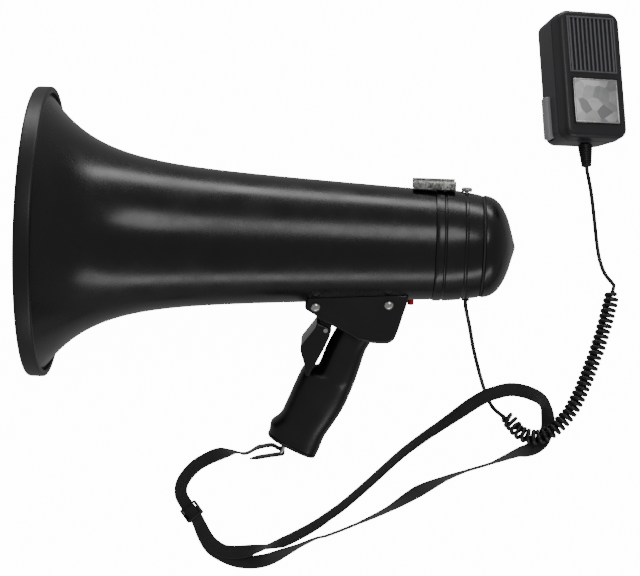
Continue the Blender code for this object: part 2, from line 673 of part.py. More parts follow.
# ---------------------------------------------------------------- microphone hanger
hanger_x = housing_x - HANGER_AHEAD
hanger_z = max(horn_radius(hanger_x), HOUSING_FRONT_RADIUS) + GAP
half, sheet = HANGER_WIDTH / 2, HANGER_SHEET
hanger_bracket = outline(
    "hanger_bracket",
    [(-half, 0), (half, 0), (half, HANGER_HEIGHT), (half - HANGER_LIP, HANGER_HEIGHT),
     (half - HANGER_LIP, HANGER_HEIGHT - sheet), (half - sheet, HANGER_HEIGHT - sheet), (half - sheet, sheet),
     (sheet - half, sheet), (sheet - half, HANGER_HEIGHT - sheet), (HANGER_LIP - half, HANGER_HEIGHT - sheet),
     (HANGER_LIP - half, HANGER_HEIGHT), (-half, HANGER_HEIGHT)],
    HANGER_LENGTH, STEEL, location=(hanger_x + HANGER_LENGTH / 2, 0, hanger_z), rotation=SECTION)
screw_seat = hanger_z + sheet + GAP
screw_places = (hanger_x + HANGER_SCREW_INSET, hanger_x + HANGER_LENGTH - HANGER_SCREW_INSET)
for number, x, wall in ((1, screw_places[0], horn_shell), (2, screw_places[1], rear_housing)):
    foot = TUBE_END_RADIUS - HORN_WALL + 0.0008
    turned(
        f"hanger_screw_{number}",
        [(foot, 0), (foot, SCREW_SHANK_RADIUS), (screw_seat, SCREW_SHANK_RADIUS), (screw_seat, SCREW_HEAD_RADIUS),
         (screw_seat + 0.0008, SCREW_HEAD_RADIUS * 0.9), (screw_seat + 0.0015, SCREW_HEAD_RADIUS * 0.5),
         (screw_seat + 0.0016, 0)],
        BRIGHT, location=(x, 0, 0), rotation=UP, steps=12)
    screw_hole = rod(f"hanger_screw_hole_{number}", SCREW_SHANK_RADIUS + GAP, (x, 0, foot - 0.0012),
                     (x, 0, screw_seat + 0.001), None, sides=12)
    cut(wall, screw_hole)
    cut(hanger_bracket, screw_hole)

# ---------------------------------------------------------------- grip
rake_sine, rake_cosine = math.sin(GRIP_RAKE), math.cos(GRIP_RAKE)
grip_x = housing_x - GRIP_AHEAD
underside = empty("tube_underside", megaphone, (grip_x, 0, -horn_radius(grip_x)))
grip_frame = empty("grip_frame", underside, (0, 0, -SADDLE_DEPTH), (0, GRIP_RAKE, 0))

# Stations down the grip: distance from its origin, front edge, rear edge, share of the half width.
grip_stations = [
    (-0.012, -0.0085, 0.0185, 0.90), (0.002, -0.0095, 0.0172, 0.93), (0.014, -0.0095, 0.0190, 0.97),
    (0.0300, -0.0085, 0.0210, 1.00), (0.0335, -0.0158, 0.0214, 1.00), (0.048, -0.0176, 0.0222, 1.00),
    (0.062, -0.0170, 0.0210, 0.98), (0.073, -0.0169, 0.0196, 0.97), (0.081, -0.0208, 0.0202, 0.98),
    (0.0885, -0.0186, 0.0206, 0.98)]


def grip_loft(name, inset, side, material, past):
    """Half of the pistol grip as a solid, from a little past its parting plane outwards."""
    mesh = bpy.data.meshes.new(name)
    work = bmesh.new()
    rings = []
    around = [math.radians(angle) for angle in range(0, 181, 20)]
    for down, front, rear, share in grip_stations:
        middle, reach = (front + rear) / 2, (rear - front) / 2 - inset
        width = GRIP_HALF_WIDTH * share - inset
        ring = []
        for angle in around:
            across = math.copysign(abs(math.cos(angle)) ** (2 / GRIP_ROUNDNESS), math.cos(angle))
            out = abs(math.sin(angle)) ** (2 / GRIP_ROUNDNESS)
            half_out = width * out if 0 < angle < math.pi * 0.99 else -past
            ring.append(work.verts.new((middle + reach * across, side * half_out, -down)))
        rings.append(ring)
    for upper, lower in zip(rings, rings[1:]):
        for k in range(len(around)):
            following = (k + 1) % len(around)
            work.faces.new((upper[k], upper[following], lower[following], lower[k]))
    work.faces.new(rings[0])
    work.faces.new(list(reversed(rings[-1])))
    bmesh.ops.recalc_face_normals(work, faces=work.faces)
    work.to_mesh(mesh)
    work.free()
    return place(name, mesh, material, grip_frame)


# Outlines of the saddle in x and z, from the grip's station on the tube's underside.
saddle_outline = [
    (-0.0296, 0.0101), (-0.0296, 0.0027), (-0.0314, -0.0033), (-0.0218, -0.0088), (-0.0185, -0.0124),
    (-0.0100, -0.0154), (0, -0.0209), (0.0090, -0.0259), (0.0207, -0.0274), (0.0305, -0.0271), (0.0343, -0.0244),
    (0.0370, -0.0175), (0.0405, -0.0047), (0.0423, 0.0012), (0.0442, 0.0101)]
saddle_cavity = [
    (-0.0130, 0.0131), (-0.0130, -0.0109), (0.0040, -0.0194), (0.0290, -0.0229), (0.0350, -0.0019), (0.0380, 0.0131)]
screw_places = {"front": (-0.0231, -0.0015), "rear": (0.0295, 0.0017)}
clearance_x = [grip_x + along for along in (-0.07, -0.04, -0.02, 0.0, 0.02, 0.04)] + [TUBE_LENGTH]
tube_clearance = turned(
    "tube_clearance",
    [(clearance_x[0], 0)] + [(x, horn_radius(x) + GAP) for x in clearance_x] + [(TUBE_LENGTH, 0)],
    None)
saddle_holes = [
    rod(f"saddle_screw_hole_{label}", SADDLE_SHANK_RADIUS + GAP, (x, -0.03, z),
        (x, GAP - SADDLE_SHANK_START, z), None, underside, sides=12)
    for label, (x, z) in screw_places.items()]
pivot_x, pivot_z = TRIGGER_PIVOT
lug_outline = [(pivot_x - LUG_RADIUS, LUG_TOP)] + [
    (pivot_x - LUG_RADIUS * math.cos(math.radians(angle)), pivot_z - LUG_RADIUS * math.sin(math.radians(angle)))
    for angle in range(15, 166, 30)] + [(pivot_x + LUG_RADIUS, LUG_TOP)]
pin_hole = rod("trigger_pin_hole", TRIGGER_PIN_RADIUS + GAP, (pivot_x, -0.03, pivot_z), (pivot_x, 0.03, pivot_z),
               None, underside, sides=12)

def half(name, points, reach, side, past):
    """An outline as thick as one half needs, from a little past the parting plane out to its reach."""
    depth = reach + past
    return outline(name, points, depth, None, underside, (0, side * (depth / 2 - past), 0))


for side, name in ((-1, "grip_left"), (1, "grip_right")):
    shell = grip_loft(name, 0, side, GRIP_BLACK, 0.0006)
    block = half(f"{name}_saddle", saddle_outline, SADDLE_HALF_WIDTH, side, 0.0010)
    round_edges(block, 0.003, 2, 50)
    lug = half(f"{name}_pivot_lug", lug_outline, LUG_HALF_WIDTH, side, 0.0014)
    hollow = grip_loft(f"{name}_hollow", GRIP_WALL, side, None, 0.0018)
    cavity = half(f"{name}_cavity", saddle_cavity, SADDLE_HALF_WIDTH - GRIP_WALL - 0.001, side, 0.0022)
    join(shell, block, lug)
    cut(shell, tube_clearance, cavity, hollow, pin_hole, *saddle_holes,
        box(f"{name}_parting", (0.3, 0.05, 0.3), None, underside, (0, side * (GAP / 2 - 0.025), 0)))

for label, (x, z) in screw_places.items():
    seat = SADDLE_HALF_WIDTH + GAP
    turned(
        f"saddle_screw_{label}",
        [(SADDLE_SHANK_START, 0), (SADDLE_SHANK_START, SADDLE_SHANK_RADIUS), (seat, SADDLE_SHANK_RADIUS), (seat, SADDLE_SCREW_RADIUS),
         (seat + 0.0007, SADDLE_SCREW_RADIUS * 0.94), (seat + 0.0017, SADDLE_SCREW_RADIUS * 0.6),
         (seat + 0.0020, 0)],
        BRIGHT, underside, (x, 0, z), (math.radians(90), 0, 0), 16)

# ---------------------------------------------------------------- trigger
trigger_frame = empty("trigger_frame", underside, (pivot_x, 0, pivot_z))
trigger_outline = [
    (-0.0066, 0.0055), (-0.0072, 0.0025), (-0.0187, -0.0133), (-0.0148, -0.0247), (-0.0132, -0.0337),
    (-0.0115, -0.0341), (-0.0068, -0.0255), (-0.0008, -0.0135), (0.0036, -0.0030), (0.0030, 0.0015),
    (-0.0008, 0.0035)]
trigger_inside = [
    (-0.0113, 0.0105), (-0.0046, 0.0020), (-0.0161, -0.0137), (-0.0128, -0.0243), (-0.0163, -0.0375),
    (0.0182, -0.0375), (0.0182, 0.0105)]
trigger = outline("trigger", trigger_outline, 2 * TRIGGER_HALF_WIDTH, GRIP_BLACK, trigger_frame)
round_edges(trigger, 0.0012, 2, 50)
cut(trigger, outline("trigger_inside", trigger_inside, 2 * (TRIGGER_HALF_WIDTH - TRIGGER_WALL), None, trigger_frame),
    pin_hole)
pin_reach = TRIGGER_HALF_WIDTH - 0.0008
rod("trigger_pin", TRIGGER_PIN_RADIUS, (pivot_x, -pin_reach, pivot_z), (pivot_x, pin_reach, pivot_z), BRIGHT,
    underside, sides=12)
spring_turns, spring_sides = 5, 9
spring_front, spring_rear, spring_z = -0.0143, -0.0006, -0.0150
coil = [(spring_front + (spring_rear - spring_front) * step / (spring_turns * spring_sides),
         TRIGGER_SPRING_RADIUS * math.cos(math.tau * step / spring_sides),
         spring_z + TRIGGER_SPRING_RADIUS * math.sin(math.tau * step / spring_sides))
        for step in range(spring_turns * spring_sides + 1)]
tube("trigger_spring", coil, SPRING_WIRE, BRIGHT, trigger_frame, resolution=0)
box("trigger_switch", (0.012, 0.0105, 0.018), FERRITE, grip_frame, (0.0015, 0, -0.044))

# ---------------------------------------------------------------- butt plate and strap bar
butt_top = grip_stations[-1][0] + GAP
butt_front, butt_rear = grip_stations[-1][1:3]
butt_outline = []
for angle in range(0, 360, 20):
    cosine, sine = math.cos(math.radians(angle)), math.sin(math.radians(angle))
    across = math.copysign(abs(cosine) ** (2 / GRIP_ROUNDNESS), cosine)
    out = math.copysign(abs(sine) ** (2 / GRIP_ROUNDNESS), sine)
    butt_outline.append(((butt_front + butt_rear) / 2 + (butt_rear - butt_front) / 2 * across,
                         (GRIP_HALF_WIDTH - 0.0006) * out))
butt_plate = outline("butt_plate", butt_outline, BUTT_THICKNESS, GRIP_BLACK, grip_frame,
                     (0, 0, -butt_top - BUTT_THICKNESS / 2), TOP)
bar_radius, bar_reach, bar_half = 0.0011, 0.0078, STRAP_WIDTH / 2 + 0.0018
bar_foot = -butt_top - BUTT_THICKNESS + 0.0012
bar_low = -butt_top - BUTT_THICKNESS - bar_reach
bar_f = -0.0035
bar_route = [(bar_f, -bar_half, bar_foot), (bar_f, -bar_half, bar_low + 0.0025), (bar_f, -bar_half + 0.0007, bar_low + 0.0007),
             (bar_f, -bar_half + 0.0025, bar_low), (bar_f, bar_half - 0.0025, bar_low),
             (bar_f, bar_half - 0.0007, bar_low + 0.0007), (bar_f, bar_half, bar_low + 0.0025), (bar_f, bar_half, bar_foot)]
tube("strap_bar", bar_route, bar_radius, STEEL, grip_frame)
for sign in (-1, 1):
    cut(butt_plate, rod(f"bar_socket_{sign}", bar_radius + GAP, (bar_f, sign * bar_half, bar_foot + GAP),
                        (bar_f, sign * bar_half, bar_foot - 0.003), None, grip_frame, sides=12))

# ---------------------------------------------------------------- lay the megaphone on its three points


def points_in(frame, pieces):
    """The evaluated vertices of some pieces, in a frame's own coordinates."""
    bpy.context.view_layer.update()
    graph = bpy.context.evaluated_depsgraph_get()
    found = []
    for piece in pieces:
        evaluated = piece.evaluated_get(graph)
        mesh = evaluated.to_mesh()
        flat = np.empty(len(mesh.vertices) * 3)
        mesh.vertices.foreach_get("co", flat)
        turn = np.array(frame.matrix_world.inverted() @ piece.matrix_world)
        found.append(flat.reshape(-1, 3) @ turn[:3, :3].T + turn[:3, 3])
        evaluated.to_mesh_clear()
    return np.vstack(found)


def lowest(points, turn):
    return float((points @ np.array(turn.to_3x3()).T)[:, 2].min())


def level(first, second, turn_at, low=0.0, high=math.radians(50)):
    """The angle at which two sets of points reach equally far down."""
    for _ in range(40):
        middle = (low + high) / 2
        if lowest(first, turn_at(middle)) < lowest(second, turn_at(middle)):
            low = middle
        else:
            high = middle
    return (low + high) / 2


def lying(tilt, roll):
    """On its side, the rear end down by the tilt and the grip down by the roll."""
    return Matrix.Rotation(tilt, 4, "Y") @ Matrix.Rotation(roll - math.pi / 2, 4, "X")


megaphone_pieces = {made.name: made for made in PARTS.objects if made.type != "EMPTY"}
rim_points = points_in(megaphone, [megaphone_pieces["rim_bumper"]])
rear_points = points_in(megaphone, [rear_housing, end_cap])
grip_points = points_in(megaphone, [megaphone_pieces[name] for name in
                                    ("grip_left", "grip_right", "butt_plate", "strap_bar")])
tilt, roll = 0.0, 0.0
for _ in range(4):
    tilt = level(rim_points, rear_points, lambda angle: lying(angle, roll))
    roll = level(rim_points, grip_points, lambda angle: lying(tilt, angle))
stance = lying(tilt, roll)
megaphone.matrix_world = Matrix.Translation((*MEGAPHONE_PLACE, -lowest(rim_points, stance))) @ stance

# ---------------------------------------------------------------- hand microphone


def tray(name, depth, rotation, material, location=(0, 0, 0)):
    """Half of the microphone's casing: a rounded box, open at its parting plane."""
    mesh = bpy.data.meshes.new(name)
    work = bmesh.new()
    bmesh.ops.create_cube(work, size=1)
    bmesh.ops.scale(work, vec=(MIC_WIDTH, MIC_LENGTH, depth), verts=work.verts)
    bmesh.ops.translate(work, vec=(0, 0, depth / 2), verts=work.verts)
    upright = [edge for edge in work.edges if abs(edge.verts[0].co.z - edge.verts[1].co.z) > depth / 2]
    bmesh.ops.bevel(work, geom=upright, offset=MIC_CORNER, segments=4, profile=0.5, affect="EDGES")
    face = max(work.faces, key=lambda side: side.calc_center_median().z)
    bmesh.ops.bevel(work, geom=list(face.edges), offset=MIC_EDGE, segments=2, profile=0.5, affect="EDGES")
    back = min(work.faces, key=lambda side: side.calc_center_median().z)
    bmesh.ops.delete(work, geom=[back], context="FACES_ONLY")
    work.to_mesh(mesh)
    work.free()
    made = place(name, mesh, material, microphone, location, rotation)
    wall = made.modifiers.new("wall", "SOLIDIFY")
    wall.thickness = MIC_WALL
    wall.offset = -1
    wall.use_even_offset = True
    return made


front_face = GAP + MIC_FRONT_DEPTH
front_shell = tray("mic_front_shell", MIC_FRONT_DEPTH, (0, 0, 0), MIC_GREY, (0, 0, GAP))
back_shell = tray("mic_back_shell", MIC_BACK_DEPTH, (0, math.pi, 0), MIC_GREY)
slots = bpy.data.meshes.new("grille_slots")
work = bmesh.new()
for slot in range(GRILLE_SLOTS):
    across = (slot - (GRILLE_SLOTS - 1) / 2) * GRILLE_PITCH
    made = bmesh.ops.create_cube(work, size=1)["verts"]
    bmesh.ops.scale(work, vec=(GRILLE_SLOT, GRILLE_LENGTH, 0.012), verts=made)
    bmesh.ops.translate(work, vec=(across, GRILLE_MIDDLE, front_face), verts=made)
work.to_mesh(slots)
work.free()
cut(front_shell, place("grille_slots", slots, None, microphone))
label = box("mic_label_plate", (LABEL_WIDTH, LABEL_LENGTH, LABEL_THICKNESS), STEEL, microphone,
            (0, LABEL_MIDDLE, front_face + GAP + LABEL_THICKNESS / 2))
round_edges(label, 0.0003, 1)
turned("mic_capsule", [(0.0012, 0), (0.0012, CAPSULE_RADIUS), (0.0012 + CAPSULE_DEPTH, CAPSULE_RADIUS),
                       (0.0012 + CAPSULE_DEPTH, 0)],
       STEEL, microphone, (0, GRILLE_MIDDLE, 0), UP, SMALL_STEPS)
stud_seat = MIC_BACK_DEPTH + GAP
stud_end = MIC_BACK_DEPTH + STUD_HEIGHT
stud = turned("mic_hanger_stud",
              [(stud_seat, 0), (stud_seat, STUD_NECK_RADIUS), (stud_end - STUD_HEAD, STUD_NECK_RADIUS),
               (stud_end - STUD_HEAD, STUD_HEAD_RADIUS), (stud_end - 0.0008, STUD_HEAD_RADIUS),
               (stud_end, STUD_HEAD_RADIUS - 0.0008), (stud_end, 0)],
              BRIGHT, microphone, rotation=(0, math.pi, 0), steps=SMALL_STEPS)

ptt_z = -0.0155
side_x = -MIC_WIDTH / 2
ptt_inner = side_x + MIC_WALL + 0.0012
ptt_button = box("mic_ptt_button", (PTT_PROUD + MIC_WALL + 0.0012, PTT_WIDTH, PTT_LENGTH), PTT_GREY, microphone,
                 ((side_x - PTT_PROUD + ptt_inner) / 2, PTT_MIDDLE, ptt_z), (math.radians(90), 0, 0))
round_edges(ptt_button, 0.0008, 2)
cut(back_shell, box("ptt_hole", (0.012, PTT_LENGTH + 2 * GAP, PTT_WIDTH + 2 * GAP), None, microphone,
                    (side_x, PTT_MIDDLE, ptt_z)))
spring_start = ptt_inner + SPRING_WIRE + GAP
spring_end = spring_start + 0.0065
ptt_coil = [(spring_start + (spring_end - spring_start) * step / 32,
             PTT_MIDDLE + 0.0024 * math.cos(math.tau * step / 8),
             ptt_z + 0.0024 * math.sin(math.tau * step / 8)) for step in range(33)]
tube("mic_ptt_spring", ptt_coil, SPRING_WIRE, BRIGHT, microphone, resolution=0)
box("mic_switch", (0.009, 0.020, 0.008), FERRITE, microphone,
    (spring_end + SPRING_WIRE + GAP + 0.0045, PTT_MIDDLE, ptt_z))

boot_z = -0.008
boot_start = MIC_LENGTH / 2
boot_shape = [(boot_start - MIC_WALL - 0.0015, 0), (boot_start - MIC_WALL - 0.0015, BOOT_NECK_RADIUS),
              (boot_start + GAP, BOOT_NECK_RADIUS), (boot_start + GAP, BOOT_RADIUS),
              (boot_start + BOOT_LENGTH * 0.2, BOOT_RADIUS), (boot_start + BOOT_LENGTH, BOOT_TIP_RADIUS),
              (boot_start + BOOT_LENGTH, 0)]
boot = turned("mic_strain_relief", boot_shape, RUBBER, microphone, (0, 0, boot_z), (math.radians(90), 0, 0), 16)
cut(back_shell, rod("boot_hole", BOOT_NECK_RADIUS + GAP, (0, -boot_start - 0.003, boot_z),
                    (0, 0.006 - boot_start, boot_z), None, microphone, sides=16))


def leaning(angle):
    """Front side up, leaning over to its right side by the angle."""
    return Matrix.Rotation(MIC_HEADING, 4, "Z") @ Matrix.Rotation(angle, 4, "Y")


shell_points = points_in(microphone, [back_shell])
stud_points = points_in(microphone, [stud])
lean = level(stud_points, shell_points, leaning)
rest = leaning(lean)
tube_end = megaphone.matrix_world @ Vector((TUBE_LENGTH, 0, 0))
microphone.matrix_world = Matrix.Translation((tube_end.x + MIC_PLACE[0], tube_end.y + MIC_PLACE[1],
                                              -lowest(stud_points, rest))) @ rest

# ---------------------------------------------------------------- cord from the gland to the microphone
bpy.context.view_layer.update()
gland_end = megaphone.matrix_world @ Vector((gland_x, 0, -(gland_surface + GLAND_HEIGHT + GAP)))
boot_end = microphone.matrix_world @ Vector((0, -boot_start - BOOT_LENGTH - GAP, boot_z))
coil_start = Vector((gland_end.x + 0.0268, gland_end.y - 0.0820, COIL_RADIUS + 0.0002))
coil_end = Vector((boot_end.x + 0.0187, boot_end.y - 0.0878, COIL_RADIUS + 0.0002))


def descend(top, steps, radius=CORD_RADIUS):
    """Points leaving a raised end: offsets in x and y, and the share left of its height."""
    return [(top.x + x, top.y + y, radius + share * (top.z - radius)) for x, y, share in steps]


lead_knots = [tuple(gland_end)] + descend(gland_end, [
    (-0.0001, -0.0030, 0.96), (0.0006, -0.0085, 0.79), (0.0020, -0.0180, 0.50), (0.0037, -0.0310, 0.21),
    (0.0060, -0.0416, 0.045), (0.0083, -0.0503, 0), (0.0118, -0.0614, 0), (0.0153, -0.0694, 0),
    (0.0180, -0.0745, 0.03)])
coil_knots = [(0, 0, 0, 0), (0.07, 0.0008, -0.0110, 0), (0.14, -0.0012, -0.0220, 0.0012),
              (0.22, -0.0022, -0.0335, 0.0024), (0.30, 0.0002, -0.0430, 0.0024), (0.38, -0.0002, -0.0492, 0.0024),
              (0.48, 0.0000, -0.0535, 0.0017), (0.60, 0.0010, -0.0530, 0.0003), (0.68, 0.0015, -0.0475, 0),
              (0.76, 0.0020, -0.0380, 0), (0.84, 0.0017, -0.0285, 0), (0.91, 0.0010, -0.0182, 0),
              (0.96, 0.0007, -0.0080, 0), (1, 0, 0, 0)]
coil_route = smooth_route([tuple(coil_start.lerp(coil_end, share) + Vector((x, y, z)))
                           for share, x, y, z in coil_knots], 0.006)
coil_in = (Vector(coil_route[1]) - Vector(coil_route[0])).normalized()
coil_out = (Vector(coil_route[-1]) - Vector(coil_route[-2])).normalized()
lead_knots += [tuple(coil_start - coil_in * back) for back in (0.0045, 0.0020, GAP)]
tail_knots = [tuple(coil_end + coil_out * on) for on in (GAP, 0.0020, 0.0040)] + descend(boot_end, [
    (0.0178, -0.0815, 0.14), (0.0122, -0.0742, 0.05), (0.0084, -0.0638, 0),
    (0.0065, -0.0535, 0.02), (0.0054, -0.0435, 0.12), (0.0046, -0.0340, 0.33), (0.0038, -0.0248, 0.57),
    (0.0028, -0.0160, 0.78), (0.0014, -0.0082, 0.93), (0.0003, -0.0030, 0.99)]) + [tuple(boot_end)]
tube("cord_lead", smooth_route(lead_knots, 0.005), CORD_RADIUS, CORD_JACKET)
tube("cord_coil", coil_route, COIL_RADIUS, CORD_JACKET, resolution=3)
tube("cord_tail", smooth_route(tail_knots, 0.005), CORD_RADIUS, CORD_JACKET)

# ---------------------------------------------------------------- strap through its bar
bar_middle = grip_frame.matrix_world @ Vector((bar_f, 0, bar_low))
bar_along = -(grip_frame.matrix_world.to_3x3() @ Vector((0, 1, 0)))
strap_leaves = (Vector((-1, 0, 0)) + bar_along * bar_along.x).normalized()
strap_inner = bar_along.cross(strap_leaves)
turn_radius = bar_radius + 2 * GAP + STRAP_THICKNESS / 2
flat = STRAP_THICKNESS / 2 + 0.0002
second = flat + STRAP_THICKNESS + 0.0004

# Round the bar: distance out along the strap and towards the butt; the strap stands on its edge here.
around_bar = [(0.0235, 0.0050), (0.0120, 0.0034), (0.0030, 0.0023), (-0.7 * turn_radius, 0.75 * turn_radius),
              (-turn_radius, 0), (-0.7 * turn_radius, -0.75 * turn_radius), (0.0020, -0.0026), (0.0065, -0.0050),
              (0.0165, -0.0035)]
strap_knots = [(*(bar_middle + strap_leaves * out + strap_inner * aside), 1.0) for out, aside in around_bar]
# Down to the surface: x and y from the bar, height, and the share by which it stands on its edge.
strap_knots += [(bar_middle.x + x, bar_middle.y + y, bar_middle.z * share, edge) for x, y, share, edge in (
    (-0.0283, -0.0012, 0.66, 0.9), (-0.0401, -0.0004, 0.44, 0.66), (-0.0510, -0.0023, 0.22, 0.3))]
strap_knots += [(bar_middle.x + x, bar_middle.y + y, z, 0) for x, y, z in (
    (-0.0608, -0.0061, 0.0014), (-0.0697, -0.0116, flat), (-0.0764, -0.0189, flat), (-0.0798, -0.0262, 0.0016),
    (-0.0793, -0.0335, 0.0030))]

# The slide: its middle and direction, the strap's two layers in it and the frame round them.
slide_middle = Vector((bar_middle.x - 0.0706, bar_middle.y - 0.0458, 0))
slide_along = Vector((0.627, -0.779, 0)).normalized()
slide_across = Vector((-slide_along.y, slide_along.x, 0))
bar_thick = 0.0009
lower_layer = 0.0003 + bar_thick + GAP + STRAP_THICKNESS / 2
upper_layer = lower_layer + STRAP_THICKNESS + GAP
slide_top = upper_layer + STRAP_THICKNESS / 2 + GAP + bar_thick


def in_slide(along, height, aside=0.0):
    middle = slide_middle + slide_along * along + slide_across * aside
    return (middle.x, middle.y, height, 0)


strap_knots += [in_slide(-0.0080, upper_layer), in_slide(0, upper_layer), in_slide(0.0080, upper_layer)]
strap_knots += [(bar_middle.x + x, bar_middle.y + y, z, edge) for x, y, z, edge in (
    (-0.0633, -0.0564, 0.0026, 0), (-0.0559, -0.0673, second, 0), (-0.0457, -0.0741, second, 0),
    (-0.0351, -0.0749, second + 0.0004, 0.1), (-0.0232, -0.0732, 0.0044, 0.45), (-0.0108, -0.0702, 0.0056, 1),
    (0.0016, -0.0662, 0.0046, 0.5), (0.0136, -0.0601, 0.0046, 0.5), (0.0255, -0.0531, 0.0047, 0.55),
    (0.0351, -0.0462, 0.0048, 0.6), (0.0462, -0.0378, 0.0048, 0.6), (0.0645, -0.0215, 0.0048, 0.6))]
# Over the cord's lead, round under the coil and back: x and y from the coil's start.
strap_knots += [(coil_start.x + x, coil_start.y + y, z, edge) for x, y, z, edge in (
    (-0.0902, -0.0437, 0.0048, 0.6), (-0.0742, -0.0289, 0.0048, 0.6), (-0.0588, -0.0168, 0.0047, 0.55),
    (-0.0471, -0.0085, 0.0044, 0.5), (-0.0361, -0.0005, 0.0036, 0.35), (-0.0250, 0.0077, 0.0024, 0),
    (-0.0146, 0.0140, 0.0037, 0), (-0.0059, 0.0174, 0.0035, 0), (0.0035, 0.0199, 0.0018, 0),
    (0.0122, 0.0194, flat, 0), (0.0203, 0.0170, 0.0014, 0.15), (0.0269, 0.0134, 0.0030, 0.4),
    (0.0307, 0.0083, 0.0040, 0.5), (0.0322, 0.0018, 0.0028, 0.28), (0.0324, -0.0055, flat, 0),
    (0.0310, -0.0121, flat, 0), (0.0282, -0.0180, flat, 0), (0.0232, -0.0221, flat, 0),
    (0.0174, -0.0245, 0.0029, 0.3), (0.0109, -0.0264, 0.0044, 0.5), (-0.0080, -0.0345, 0.0051, 0.72),
    (-0.0270, -0.0407, 0.0051, 0.72), (-0.0431, -0.0470, 0.0047, 0.6), (-0.0622, -0.0566, 0.0034, 0.35))]
strap_knots += [(bar_middle.x + x, bar_middle.y + y, z, edge) for x, y, z, edge in (
    (0.0793, -0.0402, 0.0047, 0.6), (0.0572, -0.0511, 0.0051, 0.72), (0.0356, -0.0602, 0.0051, 0.72), (0.0259, -0.0630, 0.0051, 0.72), (0.0139, -0.0685, 0.0049, 0.66),
    (0.0019, -0.0741, 0.0043, 0.5), (-0.0105, -0.0796, 0.0030, 0.3), (-0.0230, -0.0819, flat, 0), (-0.0353, -0.0812, flat, 0), (-0.0463, -0.0774, flat, 0),
    (-0.0550, -0.0721, flat, 0), (-0.0612, -0.0632, flat, 0))]
strap_knots += [in_slide(0.0085, lower_layer - 0.0006, -0.0006), in_slide(0.0014, lower_layer)]


def webbing(name, knots, spacing, width, thickness, material):
    """A flat strap along its knots, each with the share by which it stands on its edge; finer at the bar."""
    route = [Vector(point) for point in smooth_route([knot[:3] for knot in knots], spacing / 4)]
    chords = [(Vector(b[:3]) - Vector(a[:3])).length for a, b in zip(knots, knots[1:])]
    run = np.concatenate([[0], np.cumsum(chords)])
    edges = np.interp(np.linspace(0, run[-1], len(route)), run, [knot[3] for knot in knots])
    kept = [k for k, point in enumerate(route)
            if k % 4 == 0 or k == len(route) - 1 or (point - bar_middle).length < 3 * turn_radius]
    route, edges = [route[k] for k in kept], [edges[k] for k in kept]
    mesh = bpy.data.meshes.new(name)
    work = bmesh.new()
    rings = []
    for k, (middle, edge) in enumerate(zip(route, edges)):
        ahead = (route[min(k + 1, len(route) - 1)] - route[max(k - 1, 0)]).normalized()
        lying_across = ahead.cross(Vector((0, 0, 1))).normalized()
        across = lying_across * (1 - edge) + bar_along * edge
        across = (across - ahead * across.dot(ahead)).normalized()
        upward = across.cross(ahead)
        rings.append([work.verts.new(middle + across * side * width / 2 + upward * face * thickness / 2)
                      for side, face in ((-1, -1), (1, -1), (1, 1), (-1, 1))])
    for first, following in zip(rings, rings[1:]):
        for k in range(4):
            work.faces.new((first[k], first[(k + 1) % 4], following[(k + 1) % 4], following[k]))
    work.faces.new(list(reversed(rings[0])))
    work.faces.new(rings[-1])
    bmesh.ops.recalc_face_normals(work, faces=work.faces)
    work.to_mesh(mesh)
    work.free()
    return place(name, mesh, material, None)


webbing("strap_webbing", strap_knots, 0.005, STRAP_WIDTH, STRAP_THICKNESS, WEBBING)
slide_inside = STRAP_WIDTH + 2 * SLIDE_CLEARANCE
slide_width = slide_inside + 2 * SLIDE_RAIL
slide_turn = (0, 0, math.atan2(slide_along.y, slide_along.x))
slide_height = slide_top - 0.0003
slide_frame = empty("slide_frame", None, slide_middle + Vector((0, 0, 0.0003)), slide_turn)
slide = box("slide_buckle", (SLIDE_LENGTH, slide_width, slide_height), HOUSING_BLACK, slide_frame,
            (0, 0, slide_height / 2))
round_edges(slide, 0.0006, 2)
window = SLIDE_LENGTH - 2 * SLIDE_BAR
cut(slide,
    box("slide_channel", (2 * SLIDE_LENGTH, slide_inside, slide_height - 2 * bar_thick), None, slide_frame,
        (0, 0, slide_height / 2)),
    box("slide_window", (window, slide_inside, slide_height), None, slide_frame, (0, 0, slide_height * 0.75)),
    box("slide_under_front", (SLIDE_LENGTH, slide_inside, slide_height * 0.5), None, slide_frame,
        (-SLIDE_LENGTH / 2 - SLIDE_BAR, 0, 0)),
    box("slide_under_rear", (SLIDE_LENGTH, slide_inside, slide_height * 0.5), None, slide_frame,
        (SLIDE_LENGTH / 2 + SLIDE_BAR, 0, 0)))
bpy.context.view_layer.update()
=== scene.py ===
import json
import math

import bmesh
import bpy
import numpy as np
from mathutils import Matrix, Vector


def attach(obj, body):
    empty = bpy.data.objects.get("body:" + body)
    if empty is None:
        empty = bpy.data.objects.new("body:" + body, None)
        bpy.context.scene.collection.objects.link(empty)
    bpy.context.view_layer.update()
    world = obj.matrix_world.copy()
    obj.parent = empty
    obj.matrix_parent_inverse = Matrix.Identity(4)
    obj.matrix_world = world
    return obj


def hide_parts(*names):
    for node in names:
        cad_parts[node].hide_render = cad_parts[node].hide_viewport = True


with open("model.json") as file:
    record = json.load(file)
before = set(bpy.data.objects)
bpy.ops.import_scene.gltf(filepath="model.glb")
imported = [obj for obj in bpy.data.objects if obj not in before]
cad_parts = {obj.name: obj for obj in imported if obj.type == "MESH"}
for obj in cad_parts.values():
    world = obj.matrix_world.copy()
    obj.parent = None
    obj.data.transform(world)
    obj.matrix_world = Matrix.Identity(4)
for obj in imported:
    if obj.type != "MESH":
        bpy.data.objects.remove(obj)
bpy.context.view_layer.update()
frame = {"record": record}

# ---------------------------------------------------------------- frames of the two halves
# The megaphone lies on its side on three points and the microphone beside it on its back stud.
# Each has its own axes, read from the joints and faces that the model states.
joints = {joint["name"]: joint for joint in frame["record"]["behaviour"]["joints"]}
faces = {mount["name"]: mount for mount in frame["record"]["mounts"]}
GAP = 0.0003
